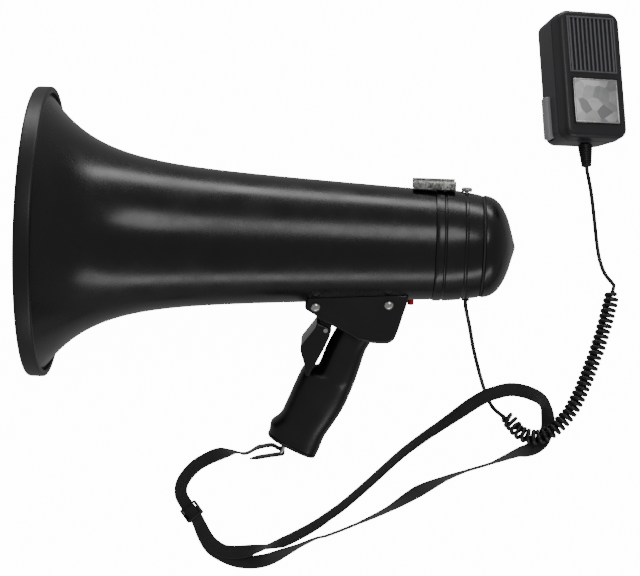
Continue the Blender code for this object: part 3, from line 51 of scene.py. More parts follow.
MOUTH_RADIUS = 0.105
TUBE_LENGTH = 0.2895
TUBE_END_RADIUS = 0.0398
TUBE_TAPER = 0.053
FLARE_LENGTH = 0.033
HORN_WALL = 0.0025
LIP_X, LIP_THICKNESS, LIP_HEIGHT = 0.007, 0.0025, 0.0025
RIM_WIDTH, RIM_COVER = 0.0120, 0.003
HOUSING_LENGTH = 0.0337
HOUSING_FRONT_RADIUS = 0.0407
HOUSING_DROP = 0.0036
KNOB_BEHIND, KNOB_RADIUS, KNOB_HEIGHT = 0.0225, 0.0039, 0.0026
GLAND_BEHIND, GLAND_RADIUS, GLAND_HEIGHT = 0.0252, 0.0032, 0.0014
housing_x = TUBE_LENGTH + GAP
bell_edge_x = LIP_X + LIP_THICKNESS
flange_radius = MOUTH_RADIUS - RIM_COVER
bell_edge_radius = flange_radius - LIP_HEIGHT
straight_at_edge = TUBE_END_RADIUS + TUBE_TAPER * (TUBE_LENGTH - bell_edge_x)
flare = (bell_edge_radius - straight_at_edge) * math.exp(bell_edge_x / FLARE_LENGTH)


def horn_radius(x):
    return TUBE_END_RADIUS + TUBE_TAPER * (TUBE_LENGTH - x) + flare * math.exp(-x / FLARE_LENGTH)


def horn_bore(x):
    slope = TUBE_TAPER + flare / FLARE_LENGTH * math.exp(-x / FLARE_LENGTH)
    return horn_radius(x) - HORN_WALL * math.hypot(1, slope)


def housing_radius(x):
    return HOUSING_FRONT_RADIUS - HOUSING_DROP * max(0, (x - housing_x) / HOUSING_LENGTH) ** 1.8


def widest(x, reach):
    return max(housing_radius(x + step) for step in (-reach, 0, reach))


def axes(origin, forward, up):
    """A frame from its origin, its x and its z."""
    across = up.cross(forward).normalized()
    turn = Matrix((forward, across, forward.cross(across))).transposed().to_4x4()
    return Matrix.Translation(origin) @ turn


knob_x = housing_x + KNOB_BEHIND
knob_seat = widest(knob_x, KNOB_RADIUS)
rearward = Vector(joints["end_cap_pull"]["axis"]).normalized()
upward = Vector(joints["siren_press"]["axis"]).normalized()
mouth = Vector(joints["volume_turn"]["pos_m"]) - rearward * knob_x - upward * knob_seat
MEGAPHONE = axes(mouth, rearward, upward)

GRIP_AHEAD, SADDLE_DEPTH, GRIP_RAKE = 0.0608, 0.0269, math.radians(25)
grip_x = housing_x - GRIP_AHEAD
UNDERSIDE = MEGAPHONE @ Matrix.Translation((grip_x, 0, -horn_radius(grip_x)))
GRIP = UNDERSIDE @ Matrix.Translation((0, 0, -SADDLE_DEPTH)) @ Matrix.Rotation(GRIP_RAKE, 4, "Y")
TRIGGER_PIVOT = (-0.0152, -0.0194)
TRIGGER = UNDERSIDE @ Matrix.Translation((TRIGGER_PIVOT[0], 0, TRIGGER_PIVOT[1]))

LABEL_MIDDLE, LABEL_FACE = -0.0205, 0.0138
mic_across = Vector(joints["ptt_press"]["axis"]).normalized()
mic_front = Vector(faces["label_face"]["axis"]).normalized()
MICROPHONE = axes(Vector(), mic_across, mic_front)
MICROPHONE.translation = Vector(faces["label_face"]["pos_m"]) - MICROPHONE @ Vector((0, LABEL_MIDDLE, LABEL_FACE))

# ---------------------------------------------------------------- camera, floor and studio light
# A long lens a metre and a half away looks down on the set, leaning with the megaphone.
# The floor is a lit white sheet; a long soft lamp beyond the set rims its upper edges.
VIEW_POINT = Vector((0.0022, -0.0418, 0.0502))
VIEW_BACK = Vector((0.20762, -0.13917, 0.96826))
VIEW_RIGHT = Vector((0.97820, 0.03352, -0.20493))
VIEW_UP = Vector((-0.00394, 0.98970, 0.14310))
VIEW_DISTANCE = 1.45
LENS_LENGTH, SENSOR_WIDTH = 111.9, 36
FLOOR_REACH, FLOOR_GLOW, ROOM_LIGHT = 4, 14, 0.30
lens = bpy.data.cameras.new("camera")
lens.lens = LENS_LENGTH
lens.sensor_width = SENSOR_WIDTH
camera = bpy.data.objects.new("camera", lens)
bpy.context.scene.collection.objects.link(camera)
camera.matrix_world = (Matrix.Translation(VIEW_POINT + VIEW_BACK * VIEW_DISTANCE)
                       @ Matrix((VIEW_RIGHT, VIEW_UP, VIEW_BACK)).transposed().to_4x4())
bpy.context.scene.camera = camera


def linear(code):
    """An sRGB hex colour as linear red, green, blue and alpha."""
    shares = [int(code[k:k + 2], 16) / 255 for k in (1, 3, 5)]
    return [share / 12.92 if share <= 0.04045 else ((share + 0.055) / 1.055) ** 2.4 for share in shares] + [1]


def add(tree, kind, inputs=(), **settings):
    """A node with its settings; each input is a value or the socket that feeds it."""
    made = tree.nodes.new(kind)
    for name, value in settings.items():
        setattr(made, name, value)
    for name, value in dict(inputs).items():
        if isinstance(value, bpy.types.NodeSocket):
            tree.links.new(value, made.inputs[name])
        else:
            made.inputs[name].default_value = value
    return made


def material(name, color, roughness, metallic=0.0, **sockets):
    """A named finish on one Principled shader; returns it with its tree and shader."""
    made = bpy.data.materials.new(name)
    made.use_nodes = True
    tree = made.node_tree
    shader = tree.nodes["Principled BSDF"]
    shader.inputs["Base Color"].default_value = linear(color)
    shader.inputs["Roughness"].default_value = roughness
    shader.inputs["Metallic"].default_value = metallic
    for label, value in sockets.items():
        shader.inputs[label.replace("_", " ")].default_value = value
    return made, tree, shader


paper, _, paper_shader = material("white_card", "#F4F4F4", 0.9, Specular_IOR_Level=0.1)
paper_shader.inputs["Emission Color"].default_value = linear("#FFFFFF")
paper_shader.inputs["Emission Strength"].default_value = FLOOR_GLOW
floor_mesh = bpy.data.meshes.new("floor")
floor_corners = [(FLOOR_REACH * x, FLOOR_REACH * y, 0) for x, y in ((-1, -1), (1, -1), (1, 1), (-1, 1))]
floor_mesh.from_pydata(floor_corners, [], [(0, 1, 2, 3)])
floor_mesh.materials.append(paper)
floor = bpy.data.objects.new("floor", floor_mesh)
bpy.context.scene.collection.objects.link(floor)
floor.visible_glossy = floor.visible_diffuse = False

world = bpy.data.worlds.new("studio")
bpy.context.scene.world = world
world.use_nodes = True
world.node_tree.nodes["Background"].inputs["Color"].default_value = linear("#FFFFFF")
world.node_tree.nodes["Background"].inputs["Strength"].default_value = ROOM_LIGHT


def lamp(name, place, aim, size, power):
    """A square soft lamp facing a point."""
    light = bpy.data.lights.new(name, "AREA")
    light.shape = "RECTANGLE"
    light.size, light.size_y = size
    light.energy = power
    made = bpy.data.objects.new(name, light)
    bpy.context.scene.collection.objects.link(made)
    turn = (Vector(place) - Vector(aim)).to_track_quat("Z", "Y").to_matrix().to_4x4()
    made.matrix_world = Matrix.Translation(place) @ turn


lamp("key_softbox", (0, 1.5, 0.22), (0, 0, 0.06), (2.0, 0.4), 15)
lamp("overhead_softbox", (0.9, 0.5, 2.0), (0.1, 0, 0), (0.8, 0.8), 9)
lamp("front_softbox", (0.5, -1.6, 0.30), (0, -0.1, 0.06), (1.6, 0.35), 6)

# ---------------------------------------------------------------- horn
# One injection-moulded black ABS bell and tube with a fine spark-eroded skin, satin from handling.
# It flares exponentially to a flanged edge, which the rubber rim clips over.
HORN_TURNS = 144


def moulded(name, color, roughness, grain=0.00035, depth=0.05, wear=0.05):
    """Moulded plastic: an even colour, a skin of tiny grains and patches polished by handling."""
    made, tree, shader = material(name, color, roughness, IOR=1.5)
    place = add(tree, "ShaderNodeTexCoord").outputs["Object"]
    skin = add(tree, "ShaderNodeTexNoise", {"Vector": place, "Scale": 1 / grain, "Detail": 2.0})
    smears = add(tree, "ShaderNodeTexNoise", {"Vector": place, "Scale": 38.0, "Detail": 5.0, "Roughness": 0.62})
    spread = add(tree, "ShaderNodeMapRange", {"Value": smears.outputs["Fac"], "From Min": 0.35, "From Max": 0.68,
                                              "To Min": roughness - wear, "To Max": roughness + wear})
    tree.links.new(spread.outputs["Result"], shader.inputs["Roughness"])
    bump = add(tree, "ShaderNodeBump", {"Height": skin.outputs["Fac"], "Strength": depth, "Distance": 0.0002})
    tree.links.new(bump.outputs["Normal"], shader.inputs["Normal"])
    base = linear(color)
    dust = add(tree, "ShaderNodeMix", {"Factor": smears.outputs["Fac"], "A": base,
                                       "B": [min(1, value * 1.35 + 0.002) for value in base[:3]] + [1]},
               data_type="RGBA")
    tree.links.new(dust.outputs["Result"], shader.inputs["Base Color"])
    return made


def smooth(mesh, angle=30):
    """Soft shading, with edges sharper than the angle kept crisp."""
    mesh.polygons.foreach_set("use_smooth", [True] * len(mesh.polygons))
    mesh.set_sharp_from_angle(angle=math.radians(angle))


def show(name, mesh, finish, sharp=30):
    """A mesh as an object at the origin with its finish."""
    if finish is not None:
        mesh.materials.clear()
        mesh.materials.append(finish)
    smooth(mesh, sharp)
    made = bpy.data.objects.new(name, mesh)
    bpy.context.scene.collection.objects.link(made)
    return made


def settle(made):
    """Apply an object's modifiers to its mesh."""
    bpy.context.view_layer.update()
    mesh = bpy.data.meshes.new_from_object(made.evaluated_get(bpy.context.evaluated_depsgraph_get()))
    made.modifiers.clear()
    made.data = mesh
    return made


def fasten(made, body, slot_name, *nodes):
    """Ride on a body and stand for its CAD nodes; slot_name is not used."""
    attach(made, body)
    if nodes:
        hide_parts(*nodes)
    return made


def lathe(name, loop, finish, place, turns=64, along=(1, 0, 0), out=(0, 1, 0), closed=None, sharp=30):
    """A profile of (along, radius) turned about an axis."""
    along, out = Vector(along), Vector(out)
    third = along.cross(out)
    work = bmesh.new()
    rings = []
    for x, radius in loop:
        if radius < 1e-7:
            rings.append([work.verts.new(along * x)])
            continue
        rings.append([work.verts.new(along * x + (out * math.cos(math.tau * k / turns)
                                                  + third * math.sin(math.tau * k / turns)) * radius)
                      for k in range(turns)])
    if closed is None:
        closed = len(rings[0]) > 1 and len(rings[-1]) > 1
    for first, second in zip(rings, rings[1:] + (rings[:1] if closed else [])):
        for k in range(turns):
            corners = [first[k % len(first)], first[(k + 1) % len(first)],
                       second[(k + 1) % len(second)], second[k % len(second)]]
            corners = list(dict.fromkeys(corners))
            if len(corners) > 2:
                work.faces.new(corners)
    bmesh.ops.recalc_face_normals(work, faces=work.faces)
    mesh = bpy.data.meshes.new(name)
    work.to_mesh(mesh)
    work.free()
    mesh.transform(place)
    return show(name, mesh, finish, sharp)


def rounded(loop, radius, cuts=4, closed=True):
    """A profile with each marked corner turned into a small arc; a corner is (x, r) or (x, r, own radius)."""
    made = []
    count = len(loop)
    for k, corner in enumerate(loop):
        here = Vector(corner[:2])
        reach = corner[2] if len(corner) > 2 else radius
        if reach == 0 or (not closed and k in (0, count - 1)):
            made.append(tuple(here))
            continue
        before, after = Vector(loop[k - 1][:2]) - here, Vector(loop[(k + 1) % count][:2]) - here
        reach = min(reach, before.length * 0.45, after.length * 0.45)
        start, end = here + before.normalized() * reach, here + after.normalized() * reach
        for step in range(cuts + 1):
            share = step / cuts
            made.append(tuple(start * (1 - share) ** 2 + here * 2 * share * (1 - share) + end * share ** 2))
    return made


HORN_BLACK = moulded("black_moulded_abs", "#0B0B0C", 0.27)
stations = [bell_edge_x + (TUBE_LENGTH - bell_edge_x) * (step / 48) ** 2 for step in range(49)]
horn = lathe("horn_bell", [(LIP_X, flange_radius), (bell_edge_x, flange_radius)]
             + [(x, horn_radius(x)) for x in stations]
             + [(x, horn_bore(x)) for x in reversed(stations)] + [(LIP_X, horn_bore(LIP_X))],
             HORN_BLACK, MEGAPHONE, HORN_TURNS, sharp=40)
fasten(horn, "megaphone", "black_abs", "horn_shell")

# ---------------------------------------------------------------- rim
# A moulded rubber bumper stretched over the bell's edge; matt, with a rounded nose and a thin back lip.
# It is a little greyer than the horn where it has been set down.


def rubbery(name, color, roughness):
    """Moulded rubber: matt, with faint mottling and scuffs."""
    made, tree, shader = material(name, color, roughness, IOR=1.5)
    place = add(tree, "ShaderNodeTexCoord").outputs["Object"]
    mottle = add(tree, "ShaderNodeTexNoise", {"Vector": place, "Scale": 120.0, "Detail": 6.0, "Roughness": 0.7})
    shade = add(tree, "ShaderNodeMix", {"Factor": mottle.outputs["Fac"], "A": linear(color),
                                        "B": [value * 1.6 + 0.003 for value in linear(color)[:3]] + [1]},
                data_type="RGBA")
    tree.links.new(shade.outputs["Result"], shader.inputs["Base Color"])
    skin = add(tree, "ShaderNodeTexNoise", {"Vector": place, "Scale": 2600.0, "Detail": 2.0})
    bump = add(tree, "ShaderNodeBump", {"Height": skin.outputs["Fac"], "Strength": 0.12, "Distance": 0.0002})
    tree.links.new(bump.outputs["Normal"], shader.inputs["Normal"])
    return made


RUBBER = rubbery("black_moulded_rubber", "#0C0C0D", 0.42)
lip_bore = horn_bore(LIP_X) + 0.0008
groove_bore = bell_edge_radius + 0.001
rim_loop = [(0, lip_bore, 0.0015), (0, MOUTH_RADIUS, 0.0034), (RIM_WIDTH, MOUTH_RADIUS, 0.0028),
            (RIM_WIDTH, groove_bore, 0.0008), (bell_edge_x + GAP, groove_bore, 0),
            (bell_edge_x + GAP, flange_radius + GAP, 0), (LIP_X - GAP, flange_radius + GAP, 0),
            (LIP_X - GAP, lip_bore, 0)]
rim = lathe("rim_rubber", rounded(rim_loop, 0.001, 6), RUBBER, MEGAPHONE, HORN_TURNS, sharp=50)
fasten(rim, "megaphone", "black_rubber", "rim_bumper")

# ---------------------------------------------------------------- folded reflector
# A thin black ABS cup hangs in the bell on a three-legged spider and turns the sound back on itself.
# It is turned here to the same profile as the model, with a smoother skin and a rolled edge.
CUP_FRONT_X, CUP_LENGTH, CUP_RADIUS, CUP_WALL = 0.043, 0.040, 0.038, 0.002
quarter = [math.radians(angle) for angle in np.linspace(0, 90, 25)]
cup_outer = [(CUP_FRONT_X + CUP_LENGTH * (1 - math.cos(a)), CUP_RADIUS * math.sin(a)) for a in quarter]
cup_inner = [(CUP_FRONT_X + CUP_WALL + (CUP_LENGTH - CUP_WALL) * (1 - math.cos(a)),
              (CUP_RADIUS - CUP_WALL) * math.sin(a)) for a in reversed(quarter)]
cup = lathe("reflector_bowl", cup_outer + cup_inner, HORN_BLACK, MEGAPHONE, 96)
fasten(cup, "megaphone", "black_abs", "reflector_cup")

# ---------------------------------------------------------------- rear housing and cap
# A black ABS barrel holds the cells; its two grooves are finger grips and the cap twists off its end.
# The edges are broken by the mould, and the cap's shoulder is polished by hands.
GROOVE_DEPTH = 0.0007
SPIGOT_LENGTH, SPIGOT_WALL = 0.0085, 0.0024
HOUSING_BORE = 0.0346
CAP_LENGTH, CAP_SKIRT, CAP_SKIRT_WALL, CAP_WALL = 0.0237, 0.0035, 0.0019, 0.003
housing_end_x = housing_x + HOUSING_LENGTH


def groove(x, width, depth=GROOVE_DEPTH):
    """A shallow round-bottomed groove."""
    return [(x + width * share, housing_radius(x + width * share) - depth * math.sin(math.pi * share) ** 0.7)
            for share in (0, 0.08, 0.2, 0.35, 0.5, 0.65, 0.8, 0.92, 1)]


outside = [(housing_x, HOUSING_FRONT_RADIUS - 0.0008), (housing_x + 0.0003, HOUSING_FRONT_RADIUS - 0.0003),
           (housing_x + 0.0009, HOUSING_FRONT_RADIUS)]
outside += [(x, housing_radius(x)) for x in (housing_x + 0.003, housing_x + 0.005)]
outside += groove(housing_x + 0.0058, 0.0022)
outside += [(housing_x + step / 1000, housing_radius(housing_x + step / 1000)) for step in range(9, 20, 2)]
outside += groove(housing_x + 0.0205, 0.0028)
outside += [(housing_x + step / 1000, housing_radius(housing_x + step / 1000)) for step in range(25, 33, 2)]
outside += [(housing_end_x - 0.0005, housing_radius(housing_end_x)),
            (housing_end_x, housing_radius(housing_end_x) - 0.0005), (housing_end_x, HOUSING_BORE)]
spigot = TUBE_END_RADIUS - HORN_WALL - GAP
HOUSING_BLACK = moulded("black_moulded_abs_housing", "#0B0B0C", 0.25)
barrel = lathe("battery_barrel", [(housing_x - SPIGOT_LENGTH, spigot), (housing_x, spigot)] + outside
               + [(housing_x - SPIGOT_LENGTH, spigot - SPIGOT_WALL)], HOUSING_BLACK, MEGAPHONE, HORN_TURNS)
fasten(barrel, "megaphone", "black_abs", "rear_housing")

cap_x = housing_end_x + 0.0014 + 2 * GAP
end_radius = housing_radius(housing_end_x)
cap_shape = [(0, 0.992), (0.015, 1), (0.10, 0.992), (0.21, 0.972), (0.32, 0.938), (0.42, 0.888), (0.52, 0.818),
             (0.62, 0.72), (0.71, 0.606), (0.79, 0.472), (0.87, 0.30), (0.94, 0.15), (0.985, 0.05), (1, 0)]


def softened(points, count):
    """A smooth open curve through points, flat or in space."""
    knots = [Vector(points[0]) * 2 - Vector(points[1])] + [Vector(p) for p in points]
    knots.append(knots[-1] * 2 - knots[-2])
    made = []
    for before, start, end, after in zip(knots, knots[1:], knots[2:], knots[3:]):
        for step in range(count):
            t = step / count
            made.append(0.5 * (2 * start + (end - before) * t + (2 * before - 5 * start + 4 * end - after) * t ** 2
                               + (3 * start - before - 3 * end + after) * t ** 3))
    return [tuple(p) for p in made] + [tuple(points[-1])]


cap_curve = softened(cap_shape, 3)
skirt = HOUSING_BORE - 2 * GAP
inner_length = CAP_LENGTH - CAP_WALL
cap = lathe("end_cap_dome",
            [(cap_x + inner_length * x, (skirt - CAP_SKIRT_WALL) * max(r, 0)) for x, r in reversed(cap_curve)]
            + [(cap_x - CAP_SKIRT, skirt - CAP_SKIRT_WALL), (cap_x - CAP_SKIRT, skirt), (cap_x, skirt)]
            + [(cap_x + CAP_LENGTH * x, end_radius * max(r, 0)) for x, r in cap_curve],
            HOUSING_BLACK, MEGAPHONE, HORN_TURNS, closed=False, sharp=40)
fasten(cap, "end_cap", "black_abs", "end_cap")

# ---------------------------------------------------------------- small fittings on the tube
# A zinc-plated steel channel holds the microphone's stud, beside a plated volume knob.
# A rubber gland lets the cord out below, and the one red button sounds the siren.
HANGER_AHEAD, HANGER_LENGTH, HANGER_WIDTH = 0.0165, 0.0306, 0.022
HANGER_HEIGHT, HANGER_SHEET, HANGER_LIP = 0.0064, 0.0012, 0.0052


def spangled(name, dark, light, roughness, cell):
    """Zinc plate: crystals a few millimetres across, each its own grey, clouded by handling."""
    made, tree, shader = material(name, dark, roughness, metallic=1.0)
    place = add(tree, "ShaderNodeTexCoord").outputs["Object"]
    warp = add(tree, "ShaderNodeTexNoise", {"Vector": place, "Scale": 0.6 / cell, "Detail": 4.0})
    bent = add(tree, "ShaderNodeMix", {"Factor": 0.0015 / cell * 0.02, "A": place, "B": warp.outputs["Color"]},
               data_type="VECTOR")
    crystals = add(tree, "ShaderNodeTexVoronoi", {"Vector": bent.outputs["Result"], "Scale": 1 / cell})
    cloud = add(tree, "ShaderNodeTexNoise", {"Vector": place, "Scale": 0.35 / cell, "Detail": 6.0, "Roughness": 0.7})
    mixed = add(tree, "ShaderNodeMath", {0: crystals.outputs["Color"], 1: cloud.outputs["Fac"]}, operation="MULTIPLY")
    level = add(tree, "ShaderNodeMapRange", {"Value": mixed.outputs["Value"], "From Min": 0.08, "From Max": 0.42})
    shade = add(tree, "ShaderNodeMix", {"Factor": level.outputs["Result"], "A": linear(dark), "B": linear(light)},
                data_type="RGBA")
    tree.links.new(shade.outputs["Result"], shader.inputs["Base Color"])
    rough = add(tree, "ShaderNodeMapRange", {"Value": cloud.outputs["Fac"], "To Min": roughness - 0.12,
                                             "To Max": roughness + 0.16})
    tree.links.new(rough.outputs["Result"], shader.inputs["Roughness"])
    return made


def prism(name, points, depth, finish, place, middle=(0, 0, 0), turn=Matrix(), bevel=0.0, segments=3, sharp=30):
    """A flat outline given a thickness about its middle, with its edges broken."""
    mesh = bpy.data.meshes.new(name)
    work = bmesh.new()
    below = [work.verts.new((x, y, -depth / 2)) for x, y in points]
    above = [work.verts.new((x, y, depth / 2)) for x, y in points]
    work.faces.new(list(reversed(below)))
    work.faces.new(above)
    for k in range(len(points)):
        following = (k + 1) % len(points)
        work.faces.new((below[k], below[following], above[following], above[k]))
    bmesh.ops.recalc_face_normals(work, faces=work.faces)
    work.to_mesh(mesh)
    work.free()
    made = show(name, mesh, finish, sharp)
    if bevel:
        edge = made.modifiers.new("edges", "BEVEL")
        edge.width, edge.segments, edge.limit_method, edge.angle_limit = bevel, segments, "ANGLE", math.radians(28)
        settle(made)
    made.data.transform(place @ Matrix.Translation(middle) @ turn)
    smooth(made.data, sharp)
    return made


def block(name, size, finish, place, middle=(0, 0, 0), turn=Matrix(), bevel=0.0, segments=3):
    x, y = size[0] / 2, size[1] / 2
    return prism(name, [(-x, -y), (x, -y), (x, y), (-x, y)], size[2], finish, place, middle, turn, bevel, segments)


def bar(name, radius, start, end, finish, place, sides=24):
    """A round bar between two points."""
    start, end = Vector(start), Vector(end)
    along = (end - start).normalized()
    out = along.orthogonal().normalized()
    return lathe(name, [(0, 0), (0, radius), ((end - start).length, radius), ((end - start).length, 0)], finish,
                 place @ Matrix.Translation(start), sides, along, out)


def carve(made, *tools):
    """Cut other pieces away and discard them."""
    for tool in tools:
        step = made.modifiers.new(tool.name, "BOOLEAN")
        step.operation, step.object, step.solver = "DIFFERENCE", tool, "EXACT"
    settle(made)
    for tool in tools:
        bpy.data.objects.remove(tool)
    smooth(made.data, 30)
    return made


def gather(name, made):
    """Several pieces as one object."""
    work = bmesh.new()
    mesh = bpy.data.meshes.new(name)
    finishes = []
    for piece in made:
        for finish in piece.data.materials:
            if finish not in finishes:
                finishes.append(finish)
    for piece in made:
        part = piece.data
        start = len(work.faces)
        work.from_mesh(part)
        work.faces.ensure_lookup_table()
        for face in work.faces[start:]:
            face.material_index = finishes.index(part.materials[face.material_index])
    work.to_mesh(mesh)
    work.free()
    for finish in finishes:
        mesh.materials.append(finish)
    for piece in made:
        bpy.data.objects.remove(piece)
    joined = bpy.data.objects.new(name, mesh)
    bpy.context.scene.collection.objects.link(joined)
    return joined


ZINC = spangled("zinc_plated_steel_spangle", "#6F706E", "#E2E2DE", 0.42, 0.0022)
NICKEL = material("bright_nickel_plate", "#C9C9C6", 0.2, metallic=1.0)[0]
half, sheet = HANGER_WIDTH / 2, HANGER_SHEET
hanger_x = housing_x - HANGER_AHEAD
hanger_z = max(horn_radius(hanger_x), HOUSING_FRONT_RADIUS) + GAP
lip = half - HANGER_LIP
channel = [(-half, 0, 0.0016), (half, 0, 0.0016), (half, HANGER_HEIGHT, 0.0016), (lip, HANGER_HEIGHT, 0.0002),
           (lip, HANGER_HEIGHT - sheet, 0.0002), (half - sheet, HANGER_HEIGHT - sheet, 0.0006),
           (half - sheet, sheet, 0.0006), (sheet - half, sheet, 0.0006),
           (sheet - half, HANGER_HEIGHT - sheet, 0.0006), (-lip, HANGER_HEIGHT - sheet, 0.0002),
           (-lip, HANGER_HEIGHT, 0.0002), (-half, HANGER_HEIGHT, 0.0016)]
ACROSS = Matrix.Rotation(math.radians(90), 4, "Z") @ Matrix.Rotation(math.radians(90), 4, "X")
hanger = prism("hanger_channel", rounded(channel, 0.001, 3), HANGER_LENGTH, ZINC, MEGAPHONE,
               (hanger_x + HANGER_LENGTH / 2, 0, hanger_z), ACROSS, sharp=25)
ends = [bar(f"hanger_hole_{k}", 0.0016, (hanger_x + HANGER_LENGTH * share, 0, hanger_z - 0.001),
            (hanger_x + HANGER_LENGTH * share, 0, hanger_z + 0.002), ZINC, MEGAPHONE)
        for k, share in enumerate((0.212, 0.788))]
notches = [block(f"hanger_notch_{k}", (0.0016, 0.004, 0.003), ZINC, MEGAPHONE,
                 (hanger_x + HANGER_LENGTH * share, lip + HANGER_LIP * 0.2, hanger_z + HANGER_HEIGHT))
           for k, share in enumerate((0.25, 0.5, 0.72))]
fasten(carve(hanger, *ends, *notches), "megaphone", "zinc_plated_steel", "hanger_bracket")
UP = {"along": (0, 0, 1), "out": (1, 0, 0)}
for number, share in ((1, 0.0065), (2, HANGER_LENGTH - 0.0065)):
    seat = hanger_z + sheet + GAP
    head = [(0, 0), (0, 0.0026), (0.0006, 0.0025), (0.0011, 0.0020), (0.0014, 0.0012), (0.0015, 0)]
    screw = lathe(f"hanger_screw_head_{number}", head, NICKEL,
                  MEGAPHONE @ Matrix.Translation((hanger_x + share, 0, seat)), 32, **UP)
    slots = [block(f"screw_slot_{number}_{k}", (0.0032, 0.0005, 0.0016), NICKEL, MEGAPHONE,
                   (hanger_x + share, 0, seat + 0.0016), Matrix.Rotation(math.radians(90 * k + 20), 4, "Z"))
             for k in (0, 1)]
    fasten(carve(screw, *slots), "megaphone", "nickel_plate", f"hanger_screw_{number}")

def skin(name, rings, place):
    """A closed mesh through rings of points, with flat ends."""
    work = bmesh.new()
    rings = [[work.verts.new(point) for point in ring] for ring in rings]
    for first, second in zip(rings, rings[1:]):
        for k in range(len(first)):
            following = (k + 1) % len(first)
            work.faces.new((first[k], first[following], second[following], second[k]))
    work.faces.new(list(reversed(rings[0])))
    work.faces.new(rings[-1])
    bmesh.ops.recalc_face_normals(work, faces=work.faces)
    mesh = bpy.data.meshes.new(name)
    work.to_mesh(mesh)
    work.free()
    mesh.transform(place)
    return mesh


KNURL_POINTS, KNURL_RUN, KNURL_DEPTH, SHAFT_SHARE, SHAFT_DEPTH = 96, 4, 0.07, 0.38, 0.004
knob_levels = [(-SHAFT_DEPTH, SHAFT_SHARE, False), (0, SHAFT_SHARE, False), (0, 0.97, True), (0.0003, 1, True),
               (KNOB_HEIGHT - 0.0004, 1, True), (KNOB_HEIGHT, 0.88, False), (KNOB_HEIGHT - 0.0003, 0.7, False)]
knob_rings = []
for height, share, cut in knob_levels:
    ring = []
    for k in range(KNURL_POINTS):
        low = cut and k % KNURL_RUN >= KNURL_RUN / 2
        radius = KNOB_RADIUS * share * (1 - KNURL_DEPTH if low else 1)
        angle = math.tau * k / KNURL_POINTS
        ring.append((radius * math.cos(angle), radius * math.sin(angle), height))
    knob_rings.append(ring)
knob_mesh = skin("volume_knob_knurled", knob_rings, MEGAPHONE @ Matrix.Translation((knob_x, 0, knob_seat + GAP)))
fasten(show("volume_knob_knurled", knob_mesh, NICKEL), "volume_knob", "nickel_plate", "volume_knob")

DOWN = {"along": (0, 0, -1), "out": (1, 0, 0)}
gland_x = housing_x + GLAND_BEHIND
gland_seat = widest(gland_x, GLAND_RADIUS)
gland_face = gland_seat + GLAND_HEIGHT
collar = [(gland_seat - 0.003, 0), (gland_seat - 0.003, 0.0019), (gland_seat + GAP, 0.0019),
          (gland_seat + GAP, GLAND_RADIUS), (gland_seat + 0.0006, GLAND_RADIUS), (gland_seat + 0.0009, 0.0028),
          (gland_face - 0.0001, 0.0026), (gland_face, 0.0016), (gland_face, 0)]
gland = lathe("gland_collar", collar, RUBBER, MEGAPHONE @ Matrix.Translation((gland_x, 0, 0)), 40, **DOWN)
fasten(gland, "megaphone", "black_rubber", "cord_gland")

BUTTON_AHEAD, BUTTON_RADIUS, BUTTON_PROUD = 0.0147, 0.0023, 0.0043
button_x = housing_x - BUTTON_AHEAD
button_top = horn_radius(button_x) + BUTTON_PROUD
button_foot = horn_bore(button_x) + 0.0008
RED = moulded("red_moulded_polycarbonate", "#B0061A", 0.28, depth=0.02)
cap_loop = [(button_foot, 0), (button_foot, BUTTON_RADIUS), (button_top - 0.0007, BUTTON_RADIUS),
            (button_top - 0.0002, BUTTON_RADIUS - 0.0002), (button_top, BUTTON_RADIUS - 0.0007),
            (button_top - 0.00015, 0)]
button = lathe("siren_button_cap", cap_loop, RED, MEGAPHONE @ Matrix.Translation((button_x, 0, 0)), 40, **DOWN)
fasten(button, "siren_button", "red_button", "siren_button")
button_hole = bar("button_hole", BUTTON_RADIUS + GAP, (button_x, 0, -(button_foot - 0.003)),
                  (button_x, 0, -button_top), HORN_BLACK, MEGAPHONE, 40)
carve(horn, button_hole)

# ---------------------------------------------------------------- grip and saddle
# Two black ABS mouldings meet on the middle plane: a pistol grip with a finger ledge, under a block
# that is hollowed to sit on the tube. The skin is coarser than the horn's, for the hand.
GRIP_HALF_WIDTH, GRIP_ROUNDNESS, SADDLE_HALF_WIDTH = 0.0175, 2.6, 0.023
GRIP_BLACK = moulded("black_grained_abs_grip", "#0B0B0C", 0.36, grain=0.0006, depth=0.12)
grip_stations = [
    (-0.012, -0.0085, 0.0185, 0.90), (0.002, -0.0095, 0.0172, 0.93), (0.014, -0.0095, 0.0190, 0.97),
    (0.0270, -0.0085, 0.0208, 1.00), (0.0305, -0.0105, 0.0212, 1.00), (0.0330, -0.0166, 0.0214, 1.00),
    (0.0365, -0.0181, 0.0217, 1.00), (0.048, -0.0178, 0.0222, 1.00), (0.062, -0.0170, 0.0210, 0.98),
    (0.073, -0.0169, 0.0196, 0.97), (0.081, -0.0204, 0.0202, 0.98), (0.0845, -0.0198, 0.0205, 0.98),
    (0.0885, -0.0186, 0.0206, 0.98)]
GRIP_SIDES, GRIP_LEVELS = 72, 73


def oval(share):
    """A cosine or sine pushed out, so that a circle becomes a full-sided oval."""
    return math.copysign(abs(share) ** (2 / GRIP_ROUNDNESS), share)


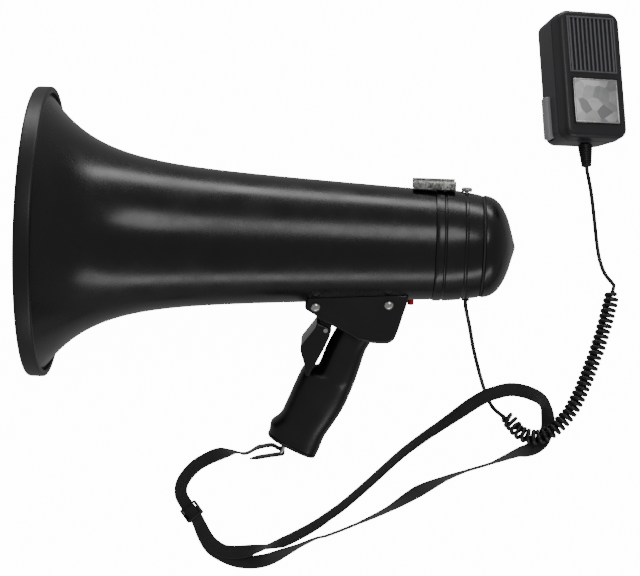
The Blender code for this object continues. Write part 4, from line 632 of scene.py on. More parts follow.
downs = np.linspace(grip_stations[0][0], grip_stations[-1][0], GRIP_LEVELS)
columns = []
for column in (1, 2, 3):
    curve = softened([(station[0], station[column]) for station in grip_stations], 6)
    columns.append(np.interp(downs, [p[0] for p in curve], [p[1] for p in curve]))
SEAM_DEPTH, SEAM_REACH = 0.022, 0.055
grip_rings = []
for down, front, rear, share in zip(downs, *columns):
    ring = []
    for k in range(GRIP_SIDES):
        angle = math.tau * k / GRIP_SIDES
        across, out = oval(math.cos(angle)), oval(math.sin(angle))
        seam = 1 - SEAM_DEPTH * max(0, 1 - abs(out) / SEAM_REACH)
        ring.append(((front + rear) / 2 + (rear - front) / 2 * across * seam, GRIP_HALF_WIDTH * share * out, -down))
    grip_rings.append(ring)
grip_mesh = skin("pistol_grip", grip_rings, GRIP)
grip = show("pistol_grip", grip_mesh, GRIP_BLACK, 40)

saddle_outline = [
    (-0.0296, 0.0101, 0), (-0.0296, 0.0027, 0.002), (-0.0314, -0.0033, 0.003), (-0.0218, -0.0088, 0.002),
    (-0.0185, -0.0124, 0.002), (-0.0100, -0.0154, 0.003), (0, -0.0209, 0.004), (0.0090, -0.0259, 0.004),
    (0.0207, -0.0274, 0.004), (0.0305, -0.0271, 0.003), (0.0343, -0.0244, 0.003), (0.0370, -0.0175, 0.004),
    (0.0405, -0.0047, 0.003), (0.0423, 0.0012, 0.003), (0.0442, 0.0101, 0)]
SIDEWAYS = Matrix.Rotation(math.radians(90), 4, "X")
saddle = prism("saddle_block", rounded(saddle_outline, 0.002, 4), 2 * SADDLE_HALF_WIDTH, GRIP_BLACK, UNDERSIDE,
               turn=SIDEWAYS, bevel=0.0026, segments=5)
clear_x = np.linspace(grip_x - 0.07, TUBE_LENGTH + 0.0001, 24)
tube_shape = lathe("tube_shape", [(clear_x[0], 0)] + [(x, horn_radius(x) + GAP) for x in clear_x] + [(clear_x[-1], 0)],
                   GRIP_BLACK, MEGAPHONE, HORN_TURNS)
carve(saddle, tube_shape)
LUG_RADIUS, LUG_TOP, LUG_WIDTH = 0.0042, -0.0128, 0.0344
lug_points = [(TRIGGER_PIVOT[0] - LUG_RADIUS, LUG_TOP), (TRIGGER_PIVOT[0] + LUG_RADIUS, LUG_TOP)] + [
    (TRIGGER_PIVOT[0] + LUG_RADIUS * math.cos(a), TRIGGER_PIVOT[1] - LUG_RADIUS * math.sin(a))
    for a in np.linspace(0, math.pi, 17)]
lug = prism("pivot_lug", lug_points, LUG_WIDTH, GRIP_BLACK, UNDERSIDE, turn=SIDEWAYS, bevel=0.0004)
BUTT_THICKNESS, BUTT_BACK, BUTT_REACH, BUTT_INSET = 0.0025, 0.001, 0.0196, 0.0006
butt_points = [(BUTT_BACK + BUTT_REACH * oval(math.cos(a)), (GRIP_HALF_WIDTH - BUTT_INSET) * oval(math.sin(a)))
               for a in np.linspace(0, math.tau, GRIP_SIDES, endpoint=False)]
butt = prism("butt_disc", butt_points, BUTT_THICKNESS, GRIP_BLACK, GRIP,
             (0, 0, -grip_stations[-1][0] - GAP - BUTT_THICKNESS / 2), bevel=0.0009, segments=4)
for moulding in (grip, saddle, lug):
    fasten(moulding, "megaphone", "black_grip_abs", "grip_left", "grip_right")
fasten(butt, "megaphone", "black_grip_abs", "butt_plate")

for label, (x, z) in {"front": (-0.0231, -0.0015), "rear": (0.0295, 0.0017)}.items():
    seat = SADDLE_HALF_WIDTH + GAP
    dome = [(seat - 0.006, 0), (seat - 0.006, 0.0017), (seat, 0.0017), (seat, 0.0034), (seat + 0.0005, 0.0034),
            (seat + 0.0011, 0.0029), (seat + 0.0016, 0.0021), (seat + 0.0019, 0.0011), (seat + 0.0020, 0)]
    screw = lathe(f"saddle_screw_head_{label}", dome, NICKEL, UNDERSIDE @ Matrix.Translation((x, 0, z)), 40,
                  along=(0, -1, 0), out=(1, 0, 0))
    cross = [block(f"cross_{label}_{k}", (0.0042, 0.0007, 0.0018), NICKEL, UNDERSIDE, (x, -seat - 0.0022, z),
                   SIDEWAYS @ Matrix.Rotation(math.radians(90 * k + 35), 4, "Z")) for k in (0, 1)]
    fasten(carve(screw, *cross), "megaphone", "nickel_plate", f"saddle_screw_{label}")

# ---------------------------------------------------------------- trigger
# A moulded black lever, open at its back, that swings on a steel pin ahead of the grip.
# Its finger face is rounded over and worn a little smoother than the grip.
TRIGGER_HALF_WIDTH, TRIGGER_WALL, TRIGGER_PIN_RADIUS = 0.0204, 0.0022, 0.0016
trigger_outline = [
    (-0.0066, 0.0055, 0.0015), (-0.0074, 0.0020, 0.003), (-0.0187, -0.0133, 0.004), (-0.0148, -0.0247, 0.004),
    (-0.0132, -0.0337, 0.0012), (-0.0115, -0.0341, 0.0012), (-0.0068, -0.0255, 0.004), (-0.0008, -0.0135, 0.004),
    (0.0036, -0.0030, 0.003), (0.0030, 0.0015, 0.001), (-0.0008, 0.0035, 0.002)]
trigger_inside = [
    (-0.0113, 0.0105), (-0.0046, 0.0020), (-0.0161, -0.0137), (-0.0128, -0.0243), (-0.0163, -0.0375),
    (0.0182, -0.0375), (0.0182, 0.0105)]
TRIGGER_BLACK = moulded("black_polished_abs_trigger", "#0D0D0E", 0.27)
trigger = prism("trigger_lever", rounded(trigger_outline, 0.002, 5), 2 * TRIGGER_HALF_WIDTH, TRIGGER_BLACK, TRIGGER,
                turn=SIDEWAYS, bevel=0.0016, segments=5)
hollow = prism("trigger_hollow", trigger_inside, 2 * (TRIGGER_HALF_WIDTH - TRIGGER_WALL), TRIGGER_BLACK, TRIGGER,
               turn=SIDEWAYS)
pin_hole = bar("pin_hole", TRIGGER_PIN_RADIUS + GAP, (0, -0.03, 0), (0, 0.03, 0), TRIGGER_BLACK, TRIGGER, 32)
fasten(carve(trigger, hollow, pin_hole), "trigger", "black_grip_abs", "trigger")
pin = bar("trigger_pivot_pin", TRIGGER_PIN_RADIUS, (0, -TRIGGER_HALF_WIDTH + 0.0008, 0),
          (0, TRIGGER_HALF_WIDTH - 0.0008, 0), NICKEL, TRIGGER, 32)
fasten(pin, "megaphone", "nickel_plate", "trigger_pin")

# ---------------------------------------------------------------- hand microphone
# Two moulded shells meet on the middle of the case: a dark grey front with a ribbed grille and a bright
# label plate, and a slightly lighter back with the talk bar in its side. They are held by hidden screws.
MIC_WIDTH, MIC_LENGTH, MIC_FRONT, MIC_BACK = 0.0505, 0.095, 0.012, 0.0265
MIC_CORNER, MIC_EDGE = 0.008, 0.003
EDGE_STEPS, CORNER_STEPS = 6, 8
MIC_DARK = moulded("dark_grey_moulded_abs", "#242427", 0.40, grain=0.0005, depth=0.10)
MIC_BACK_GREY = moulded("grey_moulded_abs_back", "#303034", 0.42, grain=0.0005, depth=0.10)
# The ribs and the grille's frame are a lighter grey than the front shell: painted highlight on the ribs.
RIB_GREY_PAINTED_HIGHLIGHT = moulded("grille_ribs_painted_highlight_grey", "#5A5A5E", 0.38, depth=0.03)
PTT_GREY = moulded("light_grey_moulded_bar", "#8E8E90", 0.40, depth=0.05)


def case(name, depth, side, draft, finish):
    """Half of the case: a rounded box closed at its parting plane, drawn in towards its face."""
    levels = [(0.0004, 0.0), (0.0, 0.0006), (0.0, depth * 0.5)]
    for step in range(EDGE_STEPS + 1):
        turn = math.radians(90 * step / EDGE_STEPS)
        levels.append((MIC_EDGE * (1 - math.cos(turn)), depth - MIC_EDGE * (1 - math.sin(turn))))
    rings = []
    for inset, height in levels:
        shrink = inset + draft * height / depth
        x, y = MIC_WIDTH / 2 - shrink, MIC_LENGTH / 2 - shrink
        corner = max(MIC_CORNER - shrink * 0.6, 0.001)
        ring = []
        for quadrant, (sx, sy) in enumerate(((1, 1), (-1, 1), (-1, -1), (1, -1))):
            for step in range(CORNER_STEPS + 1):
                angle = math.radians(90 * quadrant + 90 * step / CORNER_STEPS)
                ring.append((sx * (x - corner) + corner * math.cos(angle),
                             sy * (y - corner) + corner * math.sin(angle), side * height))
        rings.append(ring)
    return show(name, skin(name, rings, MICROPHONE), finish, 40)


front_face = GAP + MIC_FRONT
front = case("microphone_front", MIC_FRONT, 1, 0.0006, MIC_DARK)
front.data.transform(MICROPHONE @ Matrix.Translation((0, 0, GAP)) @ MICROPHONE.inverted())
GRILLE_MIDDLE, GRILLE_LENGTH, GRILLE_WIDTH = 0.0215, 0.0405, 0.0375
recess = block("grille_recess", (GRILLE_WIDTH, GRILLE_LENGTH, 0.003), MIC_DARK, MICROPHONE,
               (0, GRILLE_MIDDLE, front_face), bevel=0.0006)
plate_bed = block("plate_bed", (0.0385, 0.0350, 0.0010), MIC_DARK, MICROPHONE, (0, LABEL_MIDDLE, front_face))
fasten(carve(front, recess, plate_bed), "megaphone", "microphone_abs", "mic_front_shell")
back = case("microphone_back", MIC_BACK, -1, 0.0022, MIC_BACK_GREY)
PTT_MIDDLE, PTT_Z, PTT_LENGTH, PTT_WIDTH, PTT_PROUD = -0.0275, -0.0155, 0.031, 0.0085, 0.0022
side_x = -MIC_WIDTH / 2
slot_cut = block("talk_slot", (0.015, PTT_LENGTH + 0.0012, PTT_WIDTH + 0.0012), MIC_BACK_GREY, MICROPHONE,
                 (side_x, PTT_MIDDLE, PTT_Z), bevel=0.001)
boot_hole = bar("boot_hole", 0.0033, (0, -MIC_LENGTH / 2 - 0.003, -0.008), (0, -MIC_LENGTH / 2 + 0.005, -0.008),
                MIC_BACK_GREY, MICROPHONE)
fasten(carve(back, slot_cut, boot_hole), "megaphone", "microphone_abs", "mic_back_shell")

# The grille is one moulding: a frame with eleven upright ribs standing over a dark screen, the ribs and frame in a
# lighter grey that is painted highlight.
grille = [block("grille_screen", (GRILLE_WIDTH - 0.001, GRILLE_LENGTH - 0.001, 0.0004), MIC_DARK, MICROPHONE,
                (0, GRILLE_MIDDLE, front_face - 0.0012))]
RIBS, RIB_WIDTH, RIB_PITCH, RIB_HEIGHT = 11, 0.0015, 0.0034, 0.0019


def row_tree(name, finish):
    """Nodes that stand a row of like bars along x, evenly spaced about the middle."""
    tree = bpy.data.node_groups.new(name, "GeometryNodeTree")
    tree.interface.new_socket("Geometry", in_out="OUTPUT", socket_type="NodeSocketGeometry")
    tree.interface.new_socket("Count", in_out="INPUT", socket_type="NodeSocketInt")
    for label in ("Pitch", "Width", "Length", "Height"):
        tree.interface.new_socket(label, in_out="INPUT", socket_type="NodeSocketFloat")
    given = add(tree, "NodeGroupInput").outputs
    gaps = add(tree, "ShaderNodeMath", {0: given["Count"], 1: 1.0}, operation="SUBTRACT")
    span = add(tree, "ShaderNodeMath", {0: gaps.outputs[0], 1: given["Pitch"]}, operation="MULTIPLY")
    start = add(tree, "ShaderNodeMath", {0: span.outputs[0], 1: -0.5}, operation="MULTIPLY")
    first = add(tree, "ShaderNodeCombineXYZ", {"X": start.outputs[0]})
    stride = add(tree, "ShaderNodeCombineXYZ", {"X": given["Pitch"]})
    line = add(tree, "GeometryNodeMeshLine", {"Count": given["Count"], "Start Location": first.outputs[0],
                                              "Offset": stride.outputs[0]})
    size = add(tree, "ShaderNodeCombineXYZ", {"X": given["Width"], "Y": given["Length"], "Z": given["Height"]})
    one = add(tree, "GeometryNodeMeshCube", {"Size": size.outputs[0]})
    row = add(tree, "GeometryNodeInstanceOnPoints", {"Points": line.outputs[0], "Instance": one.outputs[0]})
    real = add(tree, "GeometryNodeRealizeInstances", {0: row.outputs[0]})
    dressed = add(tree, "GeometryNodeSetMaterial", {"Geometry": real.outputs[0], "Material": finish})
    add(tree, "NodeGroupOutput", {0: dressed.outputs[0]})
    return tree


ribs = show("grille_ribs", bpy.data.meshes.new("grille_ribs"), None)
row = ribs.modifiers.new("row", "NODES")
row.node_group = row_tree("row_of_bars", RIB_GREY_PAINTED_HIGHLIGHT)
sizes = {"Count": RIBS, "Pitch": RIB_PITCH, "Width": RIB_WIDTH, "Length": GRILLE_LENGTH - 0.0012, "Height": RIB_HEIGHT}
for item in row.node_group.interface.items_tree:
    if item.in_out == "INPUT":
        row[item.identifier] = sizes[item.name]
settle(ribs)
edge = ribs.modifiers.new("edges", "BEVEL")
edge.width, edge.segments = 0.0004, 2
settle(ribs)
ribs.data.transform(MICROPHONE @ Matrix.Translation((0, GRILLE_MIDDLE, front_face - 0.0003)))
grille.append(ribs)
for name, size_x, size_y, x, y in (
        ("left", 0.0011, GRILLE_LENGTH + 0.001, -GRILLE_WIDTH / 2, 0), ("right", 0.0011, GRILLE_LENGTH + 0.001,
                                                                        GRILLE_WIDTH / 2, 0),
        ("bottom", GRILLE_WIDTH + 0.001, 0.0012, 0, -GRILLE_LENGTH / 2),
        ("top", GRILLE_WIDTH + 0.001, 0.0012, 0, GRILLE_LENGTH / 2)):
    grille.append(block(f"frame_{name}", (size_x, size_y, 0.0019), RIB_GREY_PAINTED_HIGHLIGHT, MICROPHONE,
                        (x, GRILLE_MIDDLE + y, front_face - 0.0001), bevel=0.0004, segments=2))
fasten(gather("microphone_grille", grille), "megaphone", "microphone_abs")

LABEL_ZINC = spangled("clouded_aluminium_plate", "#A9ABAC", "#F4F4F2", 0.5, 0.0090)
BORDER = material("polished_aluminium_border", "#D6D6D4", 0.22, metallic=1.0)[0]
plate = [block("plate_sheet", (0.0345, 0.0310, 0.0010), LABEL_ZINC, MICROPHONE,
               (0, LABEL_MIDDLE, LABEL_FACE - 0.0007), bevel=0.0003)]
for name, size_x, size_y, x, y in (("left", 0.0012, 0.0325, -0.0174, 0), ("right", 0.0012, 0.0325, 0.0174, 0),
                                   ("bottom", 0.0360, 0.0012, 0, -0.01565), ("top", 0.0360, 0.0012, 0, 0.01565)):
    plate.append(block(f"plate_edge_{name}", (size_x, size_y, 0.0013), BORDER, MICROPHONE,
                       (x, LABEL_MIDDLE + y, LABEL_FACE - 0.00065), bevel=0.0004, segments=3))
fasten(gather("microphone_plate", plate), "megaphone", "zinc_plated_steel", "mic_label_plate")

inner = side_x + 0.0032
talk = block("talk_bar", (PTT_LENGTH, PTT_PROUD + 0.0032, PTT_WIDTH), PTT_GREY, MICROPHONE,
             ((side_x - PTT_PROUD + inner) / 2, PTT_MIDDLE, PTT_Z), Matrix.Rotation(math.radians(90), 4, "Z"),
             bevel=0.0014, segments=5)
fasten(talk, "mic_ptt_button", "grey_button", "mic_ptt_button")

# The strain relief is moulded rubber with eight rings that let it bend; the stud is plated steel.
BOOT_LENGTH, BOOT_RADIUS, BOOT_TIP, BOOT_Z = 0.0165, 0.0052, 0.0038, -0.008
boot_loop = [(-0.0035, 0), (-0.0035, 0.0030), (GAP, 0.0030), (GAP, BOOT_RADIUS - 0.0004), (0.0006, BOOT_RADIUS),
             (0.0030, BOOT_RADIUS)]
for ring in range(8):
    start = 0.0032 + ring * 0.00162
    outer = BOOT_RADIUS + (BOOT_TIP - BOOT_RADIUS) * ring / 7
    boot_loop += [(start, outer - 0.0009), (start + 0.00035, outer - 0.0009), (start + 0.0005, outer - 0.0001),
                  (start + 0.0008, outer), (start + 0.0013, outer), (start + 0.0015, outer - 0.0002)]
boot_loop += [(BOOT_LENGTH - 0.0003, BOOT_TIP - 0.0002), (BOOT_LENGTH, BOOT_TIP - 0.0006), (BOOT_LENGTH, 0)]
boot = lathe("strain_relief_rings", boot_loop, RUBBER,
             MICROPHONE @ Matrix.Translation((0, -MIC_LENGTH / 2, BOOT_Z)), 48,
             along=(0, -1, 0), out=(1, 0, 0), sharp=50)
fasten(boot, "megaphone", "black_rubber", "mic_strain_relief")
stud_end = MIC_BACK + 0.0102
stud_loop = [(MIC_BACK + GAP, 0), (MIC_BACK + GAP, 0.0036), (stud_end - 0.0034, 0.0036), (stud_end - 0.003, 0.0040),
             (stud_end - 0.003, 0.0080), (stud_end - 0.0027, 0.0082), (stud_end - 0.0008, 0.0082),
             (stud_end - 0.0002, 0.0079), (stud_end, 0.0073), (stud_end, 0.0030), (stud_end - 0.0006, 0.0024),
             (stud_end - 0.0006, 0)]
stud = lathe("hanger_stud", stud_loop, NICKEL, MICROPHONE, 64, along=(0, 0, -1), out=(1, 0, 0))
fasten(stud, "megaphone", "nickel_plate", "mic_hanger_stud")

# ---------------------------------------------------------------- coiled cord
# A thin black PVC-jacketed cord, heat-set into about forty close turns between two straight leads.
# It leaves the gland downwards, crosses the surface and rises into the microphone's strain relief.
CORD_RADIUS, COIL_RADIUS = 0.0015, 0.006
COIL_TURNS, POINTS_PER_TURN = 39, 18
gland_end = MEGAPHONE @ Vector((gland_x, 0, -(gland_face + GAP)))
boot_end = MICROPHONE @ Vector((0, -MIC_LENGTH / 2 - BOOT_LENGTH - GAP, BOOT_Z))
coil_start = Vector((gland_end.x + 0.0268, gland_end.y - 0.0820, COIL_RADIUS + 0.0002))
coil_end = Vector((boot_end.x + 0.0187, boot_end.y - 0.0878, COIL_RADIUS + 0.0002))


def smooth_route(points, spacing):
    """Points at an even spacing along a smooth curve through the given ones."""
    fine = [Vector(point) for point in softened(points, 24)]
    run = np.concatenate([[0], np.cumsum([(b - a).length for a, b in zip(fine, fine[1:])])])
    marks = np.linspace(0, run[-1], max(2, round(run[-1] / spacing)) + 1)
    table = np.array([list(point) for point in fine])
    return [Vector([float(np.interp(mark, run, table[:, axis])) for axis in range(3)]) for mark in marks]


def descend(top, steps):
    """Points leaving a raised end: offsets in x and y, and the share left of its height."""
    return [Vector((top.x + x, top.y + y, CORD_RADIUS + share * (top.z - CORD_RADIUS))) for x, y, share in steps]


lead_knots = [gland_end] + descend(gland_end, [
    (-0.0001, -0.0030, 0.96), (0.0006, -0.0085, 0.79), (0.0020, -0.0180, 0.50), (0.0037, -0.0310, 0.21),
    (0.0060, -0.0416, 0.045), (0.0083, -0.0503, 0), (0.0118, -0.0614, 0), (0.0153, -0.0694, 0),
    (0.0180, -0.0745, 0.03)])
coil_knots = [(0, 0, 0, 0), (0.07, 0.0008, -0.0110, 0), (0.14, -0.0012, -0.0220, 0.0012),
              (0.22, -0.0022, -0.0335, 0.0024), (0.30, 0.0002, -0.0430, 0.0024), (0.38, -0.0002, -0.0492, 0.0024),
              (0.48, 0.0000, -0.0535, 0.0017), (0.60, 0.0010, -0.0530, 0.0003), (0.68, 0.0015, -0.0475, 0),
              (0.76, 0.0020, -0.0380, 0), (0.84, 0.0017, -0.0285, 0), (0.91, 0.0010, -0.0182, 0),
              (0.96, 0.0007, -0.0080, 0), (1, 0, 0, 0)]
core = smooth_route([coil_start.lerp(coil_end, share) + Vector((x, y, z)) for share, x, y, z in coil_knots], 0.0003)
coil_in, coil_out = (core[3] - core[0]).normalized(), (core[-1] - core[-4]).normalized()
lead_knots += [coil_start - coil_in * step for step in (0.0045, 0.0020, GAP)]
tail_knots = [coil_end + coil_out * step for step in (GAP, 0.0020, 0.0040)] + descend(boot_end, [
    (0.0178, -0.0815, 0.14), (0.0122, -0.0742, 0.05), (0.0084, -0.0638, 0), (0.0065, -0.0535, 0.02),
    (0.0054, -0.0435, 0.12), (0.0046, -0.0340, 0.33), (0.0038, -0.0248, 0.57), (0.0028, -0.0160, 0.78),
    (0.0014, -0.0082, 0.93), (0.0003, -0.0030, 0.99)]) + [boot_end]
swing = Vector((0, 0, 1)).cross(coil_in).normalized()
coil_radius = COIL_RADIUS - CORD_RADIUS - 0.0001
turns_route = []
count = COIL_TURNS * POINTS_PER_TURN
for k in range(count + 1):
    share = k / count
    at = share * (len(core) - 1)
    low = min(int(at), len(core) - 2)
    middle = core[low].lerp(core[low + 1], at - low)
    ahead = (core[min(low + 3, len(core) - 1)] - core[max(low - 3, 0)]).normalized()
    swing = (swing - ahead * swing.dot(ahead)).normalized()
    other = ahead.cross(swing)
    angle = math.tau * k / POINTS_PER_TURN
    ease = min(1, k / POINTS_PER_TURN, (count - k) / POINTS_PER_TURN)
    ease = ease * ease * (3 - 2 * ease)
    loose = 1 + 0.05 * math.sin(7.1 * share * math.tau) + 0.04 * math.sin(17.3 * share * math.tau)
    reach = coil_radius * ease * min(1, loose)
    turns_route.append(middle + (swing * math.cos(angle) + other * math.sin(angle)) * reach)
cord_route = smooth_route(lead_knots, 0.004)[:-1] + turns_route + smooth_route(tail_knots, 0.004)[1:]


def jacket(name, color, roughness):
    """Extruded PVC: a soft sheen, faint mottling and dust."""
    made, tree, shader = material(name, color, roughness, IOR=1.53)
    place = add(tree, "ShaderNodeTexCoord").outputs["Object"]
    mottle = add(tree, "ShaderNodeTexNoise", {"Vector": place, "Scale": 420.0, "Detail": 4.0})
    rough = add(tree, "ShaderNodeMapRange", {"Value": mottle.outputs["Fac"], "To Min": roughness - 0.08,
                                             "To Max": roughness + 0.12})
    tree.links.new(rough.outputs["Result"], shader.inputs["Roughness"])
    bump = add(tree, "ShaderNodeBump", {"Height": mottle.outputs["Fac"], "Strength": 0.08, "Distance": 0.0003})
    tree.links.new(bump.outputs["Normal"], shader.inputs["Normal"])
    return made


PVC = jacket("black_extruded_pvc", "#0D0D0E", 0.34)
cord_curve = bpy.data.curves.new("coiled_cord", "CURVE")
cord_curve.dimensions = "3D"
cord_curve.bevel_depth = CORD_RADIUS
cord_curve.bevel_resolution = 3
cord_curve.use_fill_caps = True
spline = cord_curve.splines.new("POLY")
spline.points.add(len(cord_route) - 1)
for point, co in zip(spline.points, cord_route):
    point.co = (*co, 1)
spline.use_smooth = True
cord_curve.materials.append(PVC)
cord = bpy.data.objects.new("coiled_cord", cord_curve)
bpy.context.scene.collection.objects.link(cord)
fasten(cord, "megaphone", "black_pvc", "cord_lead", "cord_coil", "cord_tail")

# ---------------------------------------------------------------- strap, its bar and its slide
# Black woven polypropylene webbing, ten millimetres wide, threaded on a plated bar under the butt
# and through a moulded slide. It stands on edge at the bar, leans over along both long runs and lies flat
# where it turns and where it crosses the cord.
STRAP_WIDTH, STRAP_THICKNESS = 0.010, 0.0012
BAR_RADIUS, BAR_REACH, BAR_HALF, BAR_AT = 0.0011, 0.0078, 0.0068, -0.0035
butt_foot = -(0.0885 + GAP + BUTT_THICKNESS)
bar_foot, bar_low = butt_foot + 0.0012, butt_foot - BAR_REACH
corner = [(BAR_AT, -BAR_HALF + 0.0025 * (1 - math.cos(a)), bar_low + 0.0025 * (1 - math.sin(a)))
          for a in np.linspace(0, math.pi / 2, 9)]
bar_line = [(BAR_AT, -BAR_HALF, bar_foot)] + corner + [(x, -y, z) for x, y, z in reversed(corner)]
bar_line.append((BAR_AT, BAR_HALF, bar_foot))


def swept(name, line, radius, finish, place, sides=20):
    """A round wire bent along a line, as a mesh."""
    points = [Vector(p) for p in line]
    rings = []
    out = None
    for k, point in enumerate(points):
        ahead = (points[min(k + 1, len(points) - 1)] - points[max(k - 1, 0)]).normalized()
        out = ahead.orthogonal().normalized() if out is None else (out - ahead * out.dot(ahead)).normalized()
        other = ahead.cross(out)
        rings.append([point + (out * math.cos(math.tau * j / sides) + other * math.sin(math.tau * j / sides)) * radius
                      for j in range(sides)])
    return show(name, skin(name, rings, place), finish, 50)


fasten(swept("strap_wire", bar_line, BAR_RADIUS, NICKEL, GRIP), "megaphone", "zinc_plated_steel", "strap_bar")

bar_middle = GRIP @ Vector((BAR_AT, 0, bar_low))
bar_along = -(GRIP.to_3x3() @ Vector((0, 1, 0)))
strap_leaves = (Vector((-1, 0, 0)) + bar_along * bar_along.x).normalized()
strap_inner = bar_along.cross(strap_leaves)
turn_radius = BAR_RADIUS + 2 * GAP + STRAP_THICKNESS / 2
flat = STRAP_THICKNESS / 2 + 0.0002
second = flat + STRAP_THICKNESS + 0.0004
around_bar = [(0.0235, 0.0050), (0.0120, 0.0034), (0.0030, 0.0023), (-0.7 * turn_radius, 0.75 * turn_radius),
              (-turn_radius, 0), (-0.7 * turn_radius, -0.75 * turn_radius), (0.0020, -0.0026), (0.0065, -0.0050),
              (0.0165, -0.0035)]
strap_knots = [(*(bar_middle + strap_leaves * out + strap_inner * aside), 1.0) for out, aside in around_bar]
strap_knots += [(bar_middle.x + x, bar_middle.y + y, bar_middle.z * share, edge) for x, y, share, edge in (
    (-0.0283, -0.0012, 0.66, 0.9), (-0.0401, -0.0004, 0.44, 0.66), (-0.0510, -0.0023, 0.22, 0.3))]
strap_knots += [(bar_middle.x + x, bar_middle.y + y, z, 0) for x, y, z in (
    (-0.0608, -0.0061, 0.0014), (-0.0697, -0.0116, flat), (-0.0764, -0.0189, flat), (-0.0798, -0.0262, 0.0016),
    (-0.0793, -0.0335, 0.0030))]
SLIDE_LENGTH, SLIDE_BAR, SLIDE_RAIL, SLIDE_CLEARANCE, SLIDE_SHEET = 0.0115, 0.0018, 0.0014, 0.0006, 0.0009
slide_middle = Vector((bar_middle.x - 0.0706, bar_middle.y - 0.0458, 0))
slide_along = Vector((0.627, -0.779, 0)).normalized()
slide_across = Vector((-slide_along.y, slide_along.x, 0))
lower_layer = 0.0003 + SLIDE_SHEET + GAP + STRAP_THICKNESS / 2
upper_layer = lower_layer + STRAP_THICKNESS + GAP
slide_top = upper_layer + STRAP_THICKNESS / 2 + GAP + SLIDE_SHEET


def in_slide(along, height, aside=0.0):
    middle = slide_middle + slide_along * along + slide_across * aside
    return (middle.x, middle.y, height, 0)


strap_knots += [in_slide(-0.0080, upper_layer), in_slide(0, upper_layer), in_slide(0.0080, upper_layer)]
strap_knots += [(bar_middle.x + x, bar_middle.y + y, z, edge) for x, y, z, edge in (
    (-0.0633, -0.0564, 0.0026, 0), (-0.0559, -0.0673, second, 0), (-0.0457, -0.0741, second, 0),
    (-0.0351, -0.0749, second + 0.0004, 0.1), (-0.0232, -0.0732, 0.0044, 0.45), (-0.0108, -0.0702, 0.0056, 1),
    (0.0016, -0.0662, 0.0046, 0.5), (0.0136, -0.0601, 0.0046, 0.5), (0.0255, -0.0531, 0.0047, 0.55),
    (0.0351, -0.0462, 0.0048, 0.6), (0.0462, -0.0378, 0.0048, 0.6), (0.0645, -0.0215, 0.0048, 0.6))]
strap_knots += [(coil_start.x + x, coil_start.y + y, z, edge) for x, y, z, edge in (
    (-0.0902, -0.0437, 0.0048, 0.6), (-0.0742, -0.0289, 0.0048, 0.6), (-0.0588, -0.0168, 0.0047, 0.55),
    (-0.0471, -0.0085, 0.0044, 0.5), (-0.0361, -0.0005, 0.0036, 0.35), (-0.0250, 0.0077, 0.0024, 0),
    (-0.0146, 0.0140, 0.0037, 0), (-0.0059, 0.0174, 0.0035, 0), (0.0035, 0.0199, 0.0018, 0),
    (0.0122, 0.0194, flat, 0), (0.0203, 0.0170, 0.0014, 0.15), (0.0269, 0.0134, 0.0030, 0.4),
    (0.0307, 0.0083, 0.0040, 0.5), (0.0322, 0.0018, 0.0028, 0.28), (0.0324, -0.0055, flat, 0),
    (0.0310, -0.0121, flat, 0), (0.0282, -0.0180, flat, 0), (0.0232, -0.0221, flat, 0),
    (0.0174, -0.0245, 0.0029, 0.3), (0.0109, -0.0264, 0.0044, 0.5), (-0.0080, -0.0345, 0.0051, 0.72),
    (-0.0270, -0.0407, 0.0051, 0.72), (-0.0431, -0.0470, 0.0047, 0.6), (-0.0622, -0.0566, 0.0034, 0.35))]
strap_knots += [(bar_middle.x + x, bar_middle.y + y, z, edge) for x, y, z, edge in (
    (0.0793, -0.0402, 0.0047, 0.6), (0.0572, -0.0511, 0.0051, 0.72), (0.0356, -0.0602, 0.0051, 0.72),
    (0.0259, -0.0630, 0.0051, 0.72), (0.0139, -0.0685, 0.0049, 0.66),
    (0.0019, -0.0741, 0.0043, 0.5), (-0.0105, -0.0796, 0.0030, 0.3), (-0.0230, -0.0819, flat, 0),
    (-0.0353, -0.0812, flat, 0), (-0.0463, -0.0774, flat, 0),
    (-0.0550, -0.0721, flat, 0), (-0.0612, -0.0632, flat, 0))]
strap_knots += [in_slide(0.0085, lower_layer - 0.0006, -0.0006), in_slide(0.0014, lower_layer)]
strap_route = smooth_route([knot[:3] for knot in strap_knots], 0.0011)
chords = [(Vector(b[:3]) - Vector(a[:3])).length for a, b in zip(strap_knots, strap_knots[1:])]
strap_run = np.concatenate([[0], np.cumsum(chords)])
edges = np.interp(np.linspace(0, strap_run[-1], len(strap_route)), strap_run, [knot[3] for knot in strap_knots])
strap_length = sum((b - a).length for a, b in zip(strap_route, strap_route[1:]))

# The webbing's section: flat faces, rounded selvedges and a slightly proud middle.
section = [(-0.5, 0), (-0.488, 0.30), (-0.45, 0.46), (-0.25, 0.49), (0, 0.5), (0.25, 0.49), (0.45, 0.46), (0.488, 0.30),
           (0.5, 0), (0.488, -0.30), (0.45, -0.46), (0.25, -0.49), (0, -0.5), (-0.25, -0.49), (-0.45, -0.46),
           (-0.488, -0.30)]
work = bmesh.new()
uv = work.loops.layers.uv.new("weave")
rings = []
for k, (middle, edge) in enumerate(zip(strap_route, edges)):
    ahead = (strap_route[min(k + 1, len(strap_route) - 1)] - strap_route[max(k - 1, 0)]).normalized()
    lying_across = ahead.cross(Vector((0, 0, 1))).normalized()
    across = lying_across * (1 - edge) + bar_along * edge
    across = (across - ahead * across.dot(ahead)).normalized()
    lift = across.cross(ahead)
    tip = min(1.0, 0.12 + k / 6) if k < 6 else 1.0
    rings.append([work.verts.new(middle + across * x * STRAP_WIDTH * tip + lift * y * STRAP_THICKNESS)
                  for x, y in section])
step = strap_length / (len(strap_route) - 1)
for k, (first, second_ring) in enumerate(zip(rings, rings[1:])):
    for j in range(len(section)):
        following = (j + 1) % len(section)
        made = work.faces.new((first[j], first[following], second_ring[following], second_ring[j]))
        for loop, (u, v) in zip(made.loops, ((k, section[j][0]), (k, section[following][0]),
                                             (k + 1, section[following][0]), (k + 1, section[j][0]))):
            loop[uv].uv = (u * step, v * STRAP_WIDTH)
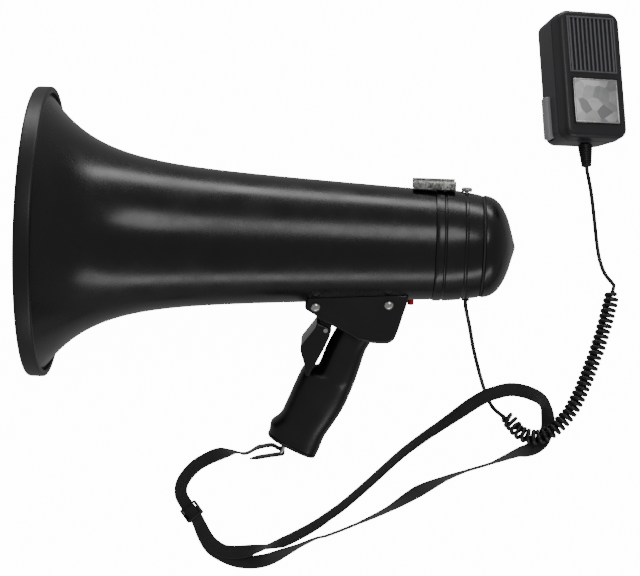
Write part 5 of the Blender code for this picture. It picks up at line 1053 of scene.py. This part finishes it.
work.faces.new(list(reversed(rings[0])))
work.faces.new(rings[-1])
bmesh.ops.recalc_face_normals(work, faces=work.faces)
strap_mesh = bpy.data.meshes.new("webbing_strap")
work.to_mesh(strap_mesh)
work.free()

# Woven ribs a little over a millimetre apart, drawn coarser than real yarn so that they show.
WEAVE_STEP = 0.0011
WEBBING, weave_tree, weave_shader = material("black_woven_polypropylene", "#0B0B0C", 0.62, Sheen_Weight=0.25)
weave_uv = add(weave_tree, "ShaderNodeUVMap", uv_map="weave").outputs["UV"]
parted = add(weave_tree, "ShaderNodeSeparateXYZ", {0: weave_uv})
slant = add(weave_tree, "ShaderNodeMath", {0: parted.outputs["Y"], 1: 0.0}, operation="ABSOLUTE")
skew = add(weave_tree, "ShaderNodeMath", {0: slant.outputs["Value"], 1: 0.8, 2: parted.outputs["X"]},
           operation="MULTIPLY_ADD")
ribs_wave = add(weave_tree, "ShaderNodeMath", {0: skew.outputs["Value"], 1: math.tau / WEAVE_STEP},
                operation="MULTIPLY")
ribs_sine = add(weave_tree, "ShaderNodeMath", {0: ribs_wave.outputs["Value"]}, operation="SINE")
cross_wave = add(weave_tree, "ShaderNodeMath", {0: parted.outputs["Y"], 1: math.tau / 0.0014}, operation="MULTIPLY")
cross_sine = add(weave_tree, "ShaderNodeMath", {0: cross_wave.outputs["Value"]}, operation="COSINE")
weave = add(weave_tree, "ShaderNodeMath", {0: ribs_sine.outputs["Value"], 1: cross_sine.outputs["Value"]},
            operation="MULTIPLY")
height = add(weave_tree, "ShaderNodeMapRange", {"Value": weave.outputs["Value"], "From Min": -1.0})
weave_bump = add(weave_tree, "ShaderNodeBump", {"Height": height.outputs["Result"], "Strength": 0.5,
                                                "Distance": 0.0003})
weave_tree.links.new(weave_bump.outputs["Normal"], weave_shader.inputs["Normal"])
# The colour follows the weave's height: darker in its hollows as painted shade, lighter on its ribs as painted
# highlight.
weave_painted_shade = add(weave_tree, "ShaderNodeMix", {"Factor": height.outputs["Result"], "A": linear("#060607"),
                                           "B": linear("#151516")}, data_type="RGBA")
weave_tree.links.new(weave_painted_shade.outputs["Result"], weave_shader.inputs["Base Color"])
strap = show("webbing_strap", strap_mesh, WEBBING, 60)

slide_inside = STRAP_WIDTH + 2 * SLIDE_CLEARANCE
slide_width = slide_inside + 2 * SLIDE_RAIL
slide_height = slide_top - 0.0003
SLIDE = (Matrix.Translation(slide_middle + Vector((0, 0, 0.0003 + slide_height / 2)))
         @ Matrix.Rotation(math.atan2(slide_along.y, slide_along.x), 4, "Z"))
SLIDE_BLACK = moulded("black_moulded_acetal_slide", "#0E0E0F", 0.26)
slide = block("strap_slide", (SLIDE_LENGTH, slide_width, slide_height), SLIDE_BLACK, SLIDE, bevel=0.0008, segments=4)
tools = [block("slide_channel", (2 * SLIDE_LENGTH, slide_inside, slide_height - 2 * SLIDE_SHEET), SLIDE_BLACK, SLIDE),
         block("slide_window", (SLIDE_LENGTH - 2 * SLIDE_BAR, slide_inside, slide_height), SLIDE_BLACK, SLIDE,
               (0, 0, slide_height * 0.25))]
tools += [block(f"slide_under_{k}", (SLIDE_LENGTH, slide_inside, slide_height * 0.5), SLIDE_BLACK, SLIDE,
                (k * (SLIDE_LENGTH / 2 + SLIDE_BAR), 0, -slide_height / 2)) for k in (-1, 1)]
fasten(carve(slide, *tools), "megaphone", "black_abs", "slide_buckle")
fasten(strap, "megaphone", "black_webbing", "strap_webbing")
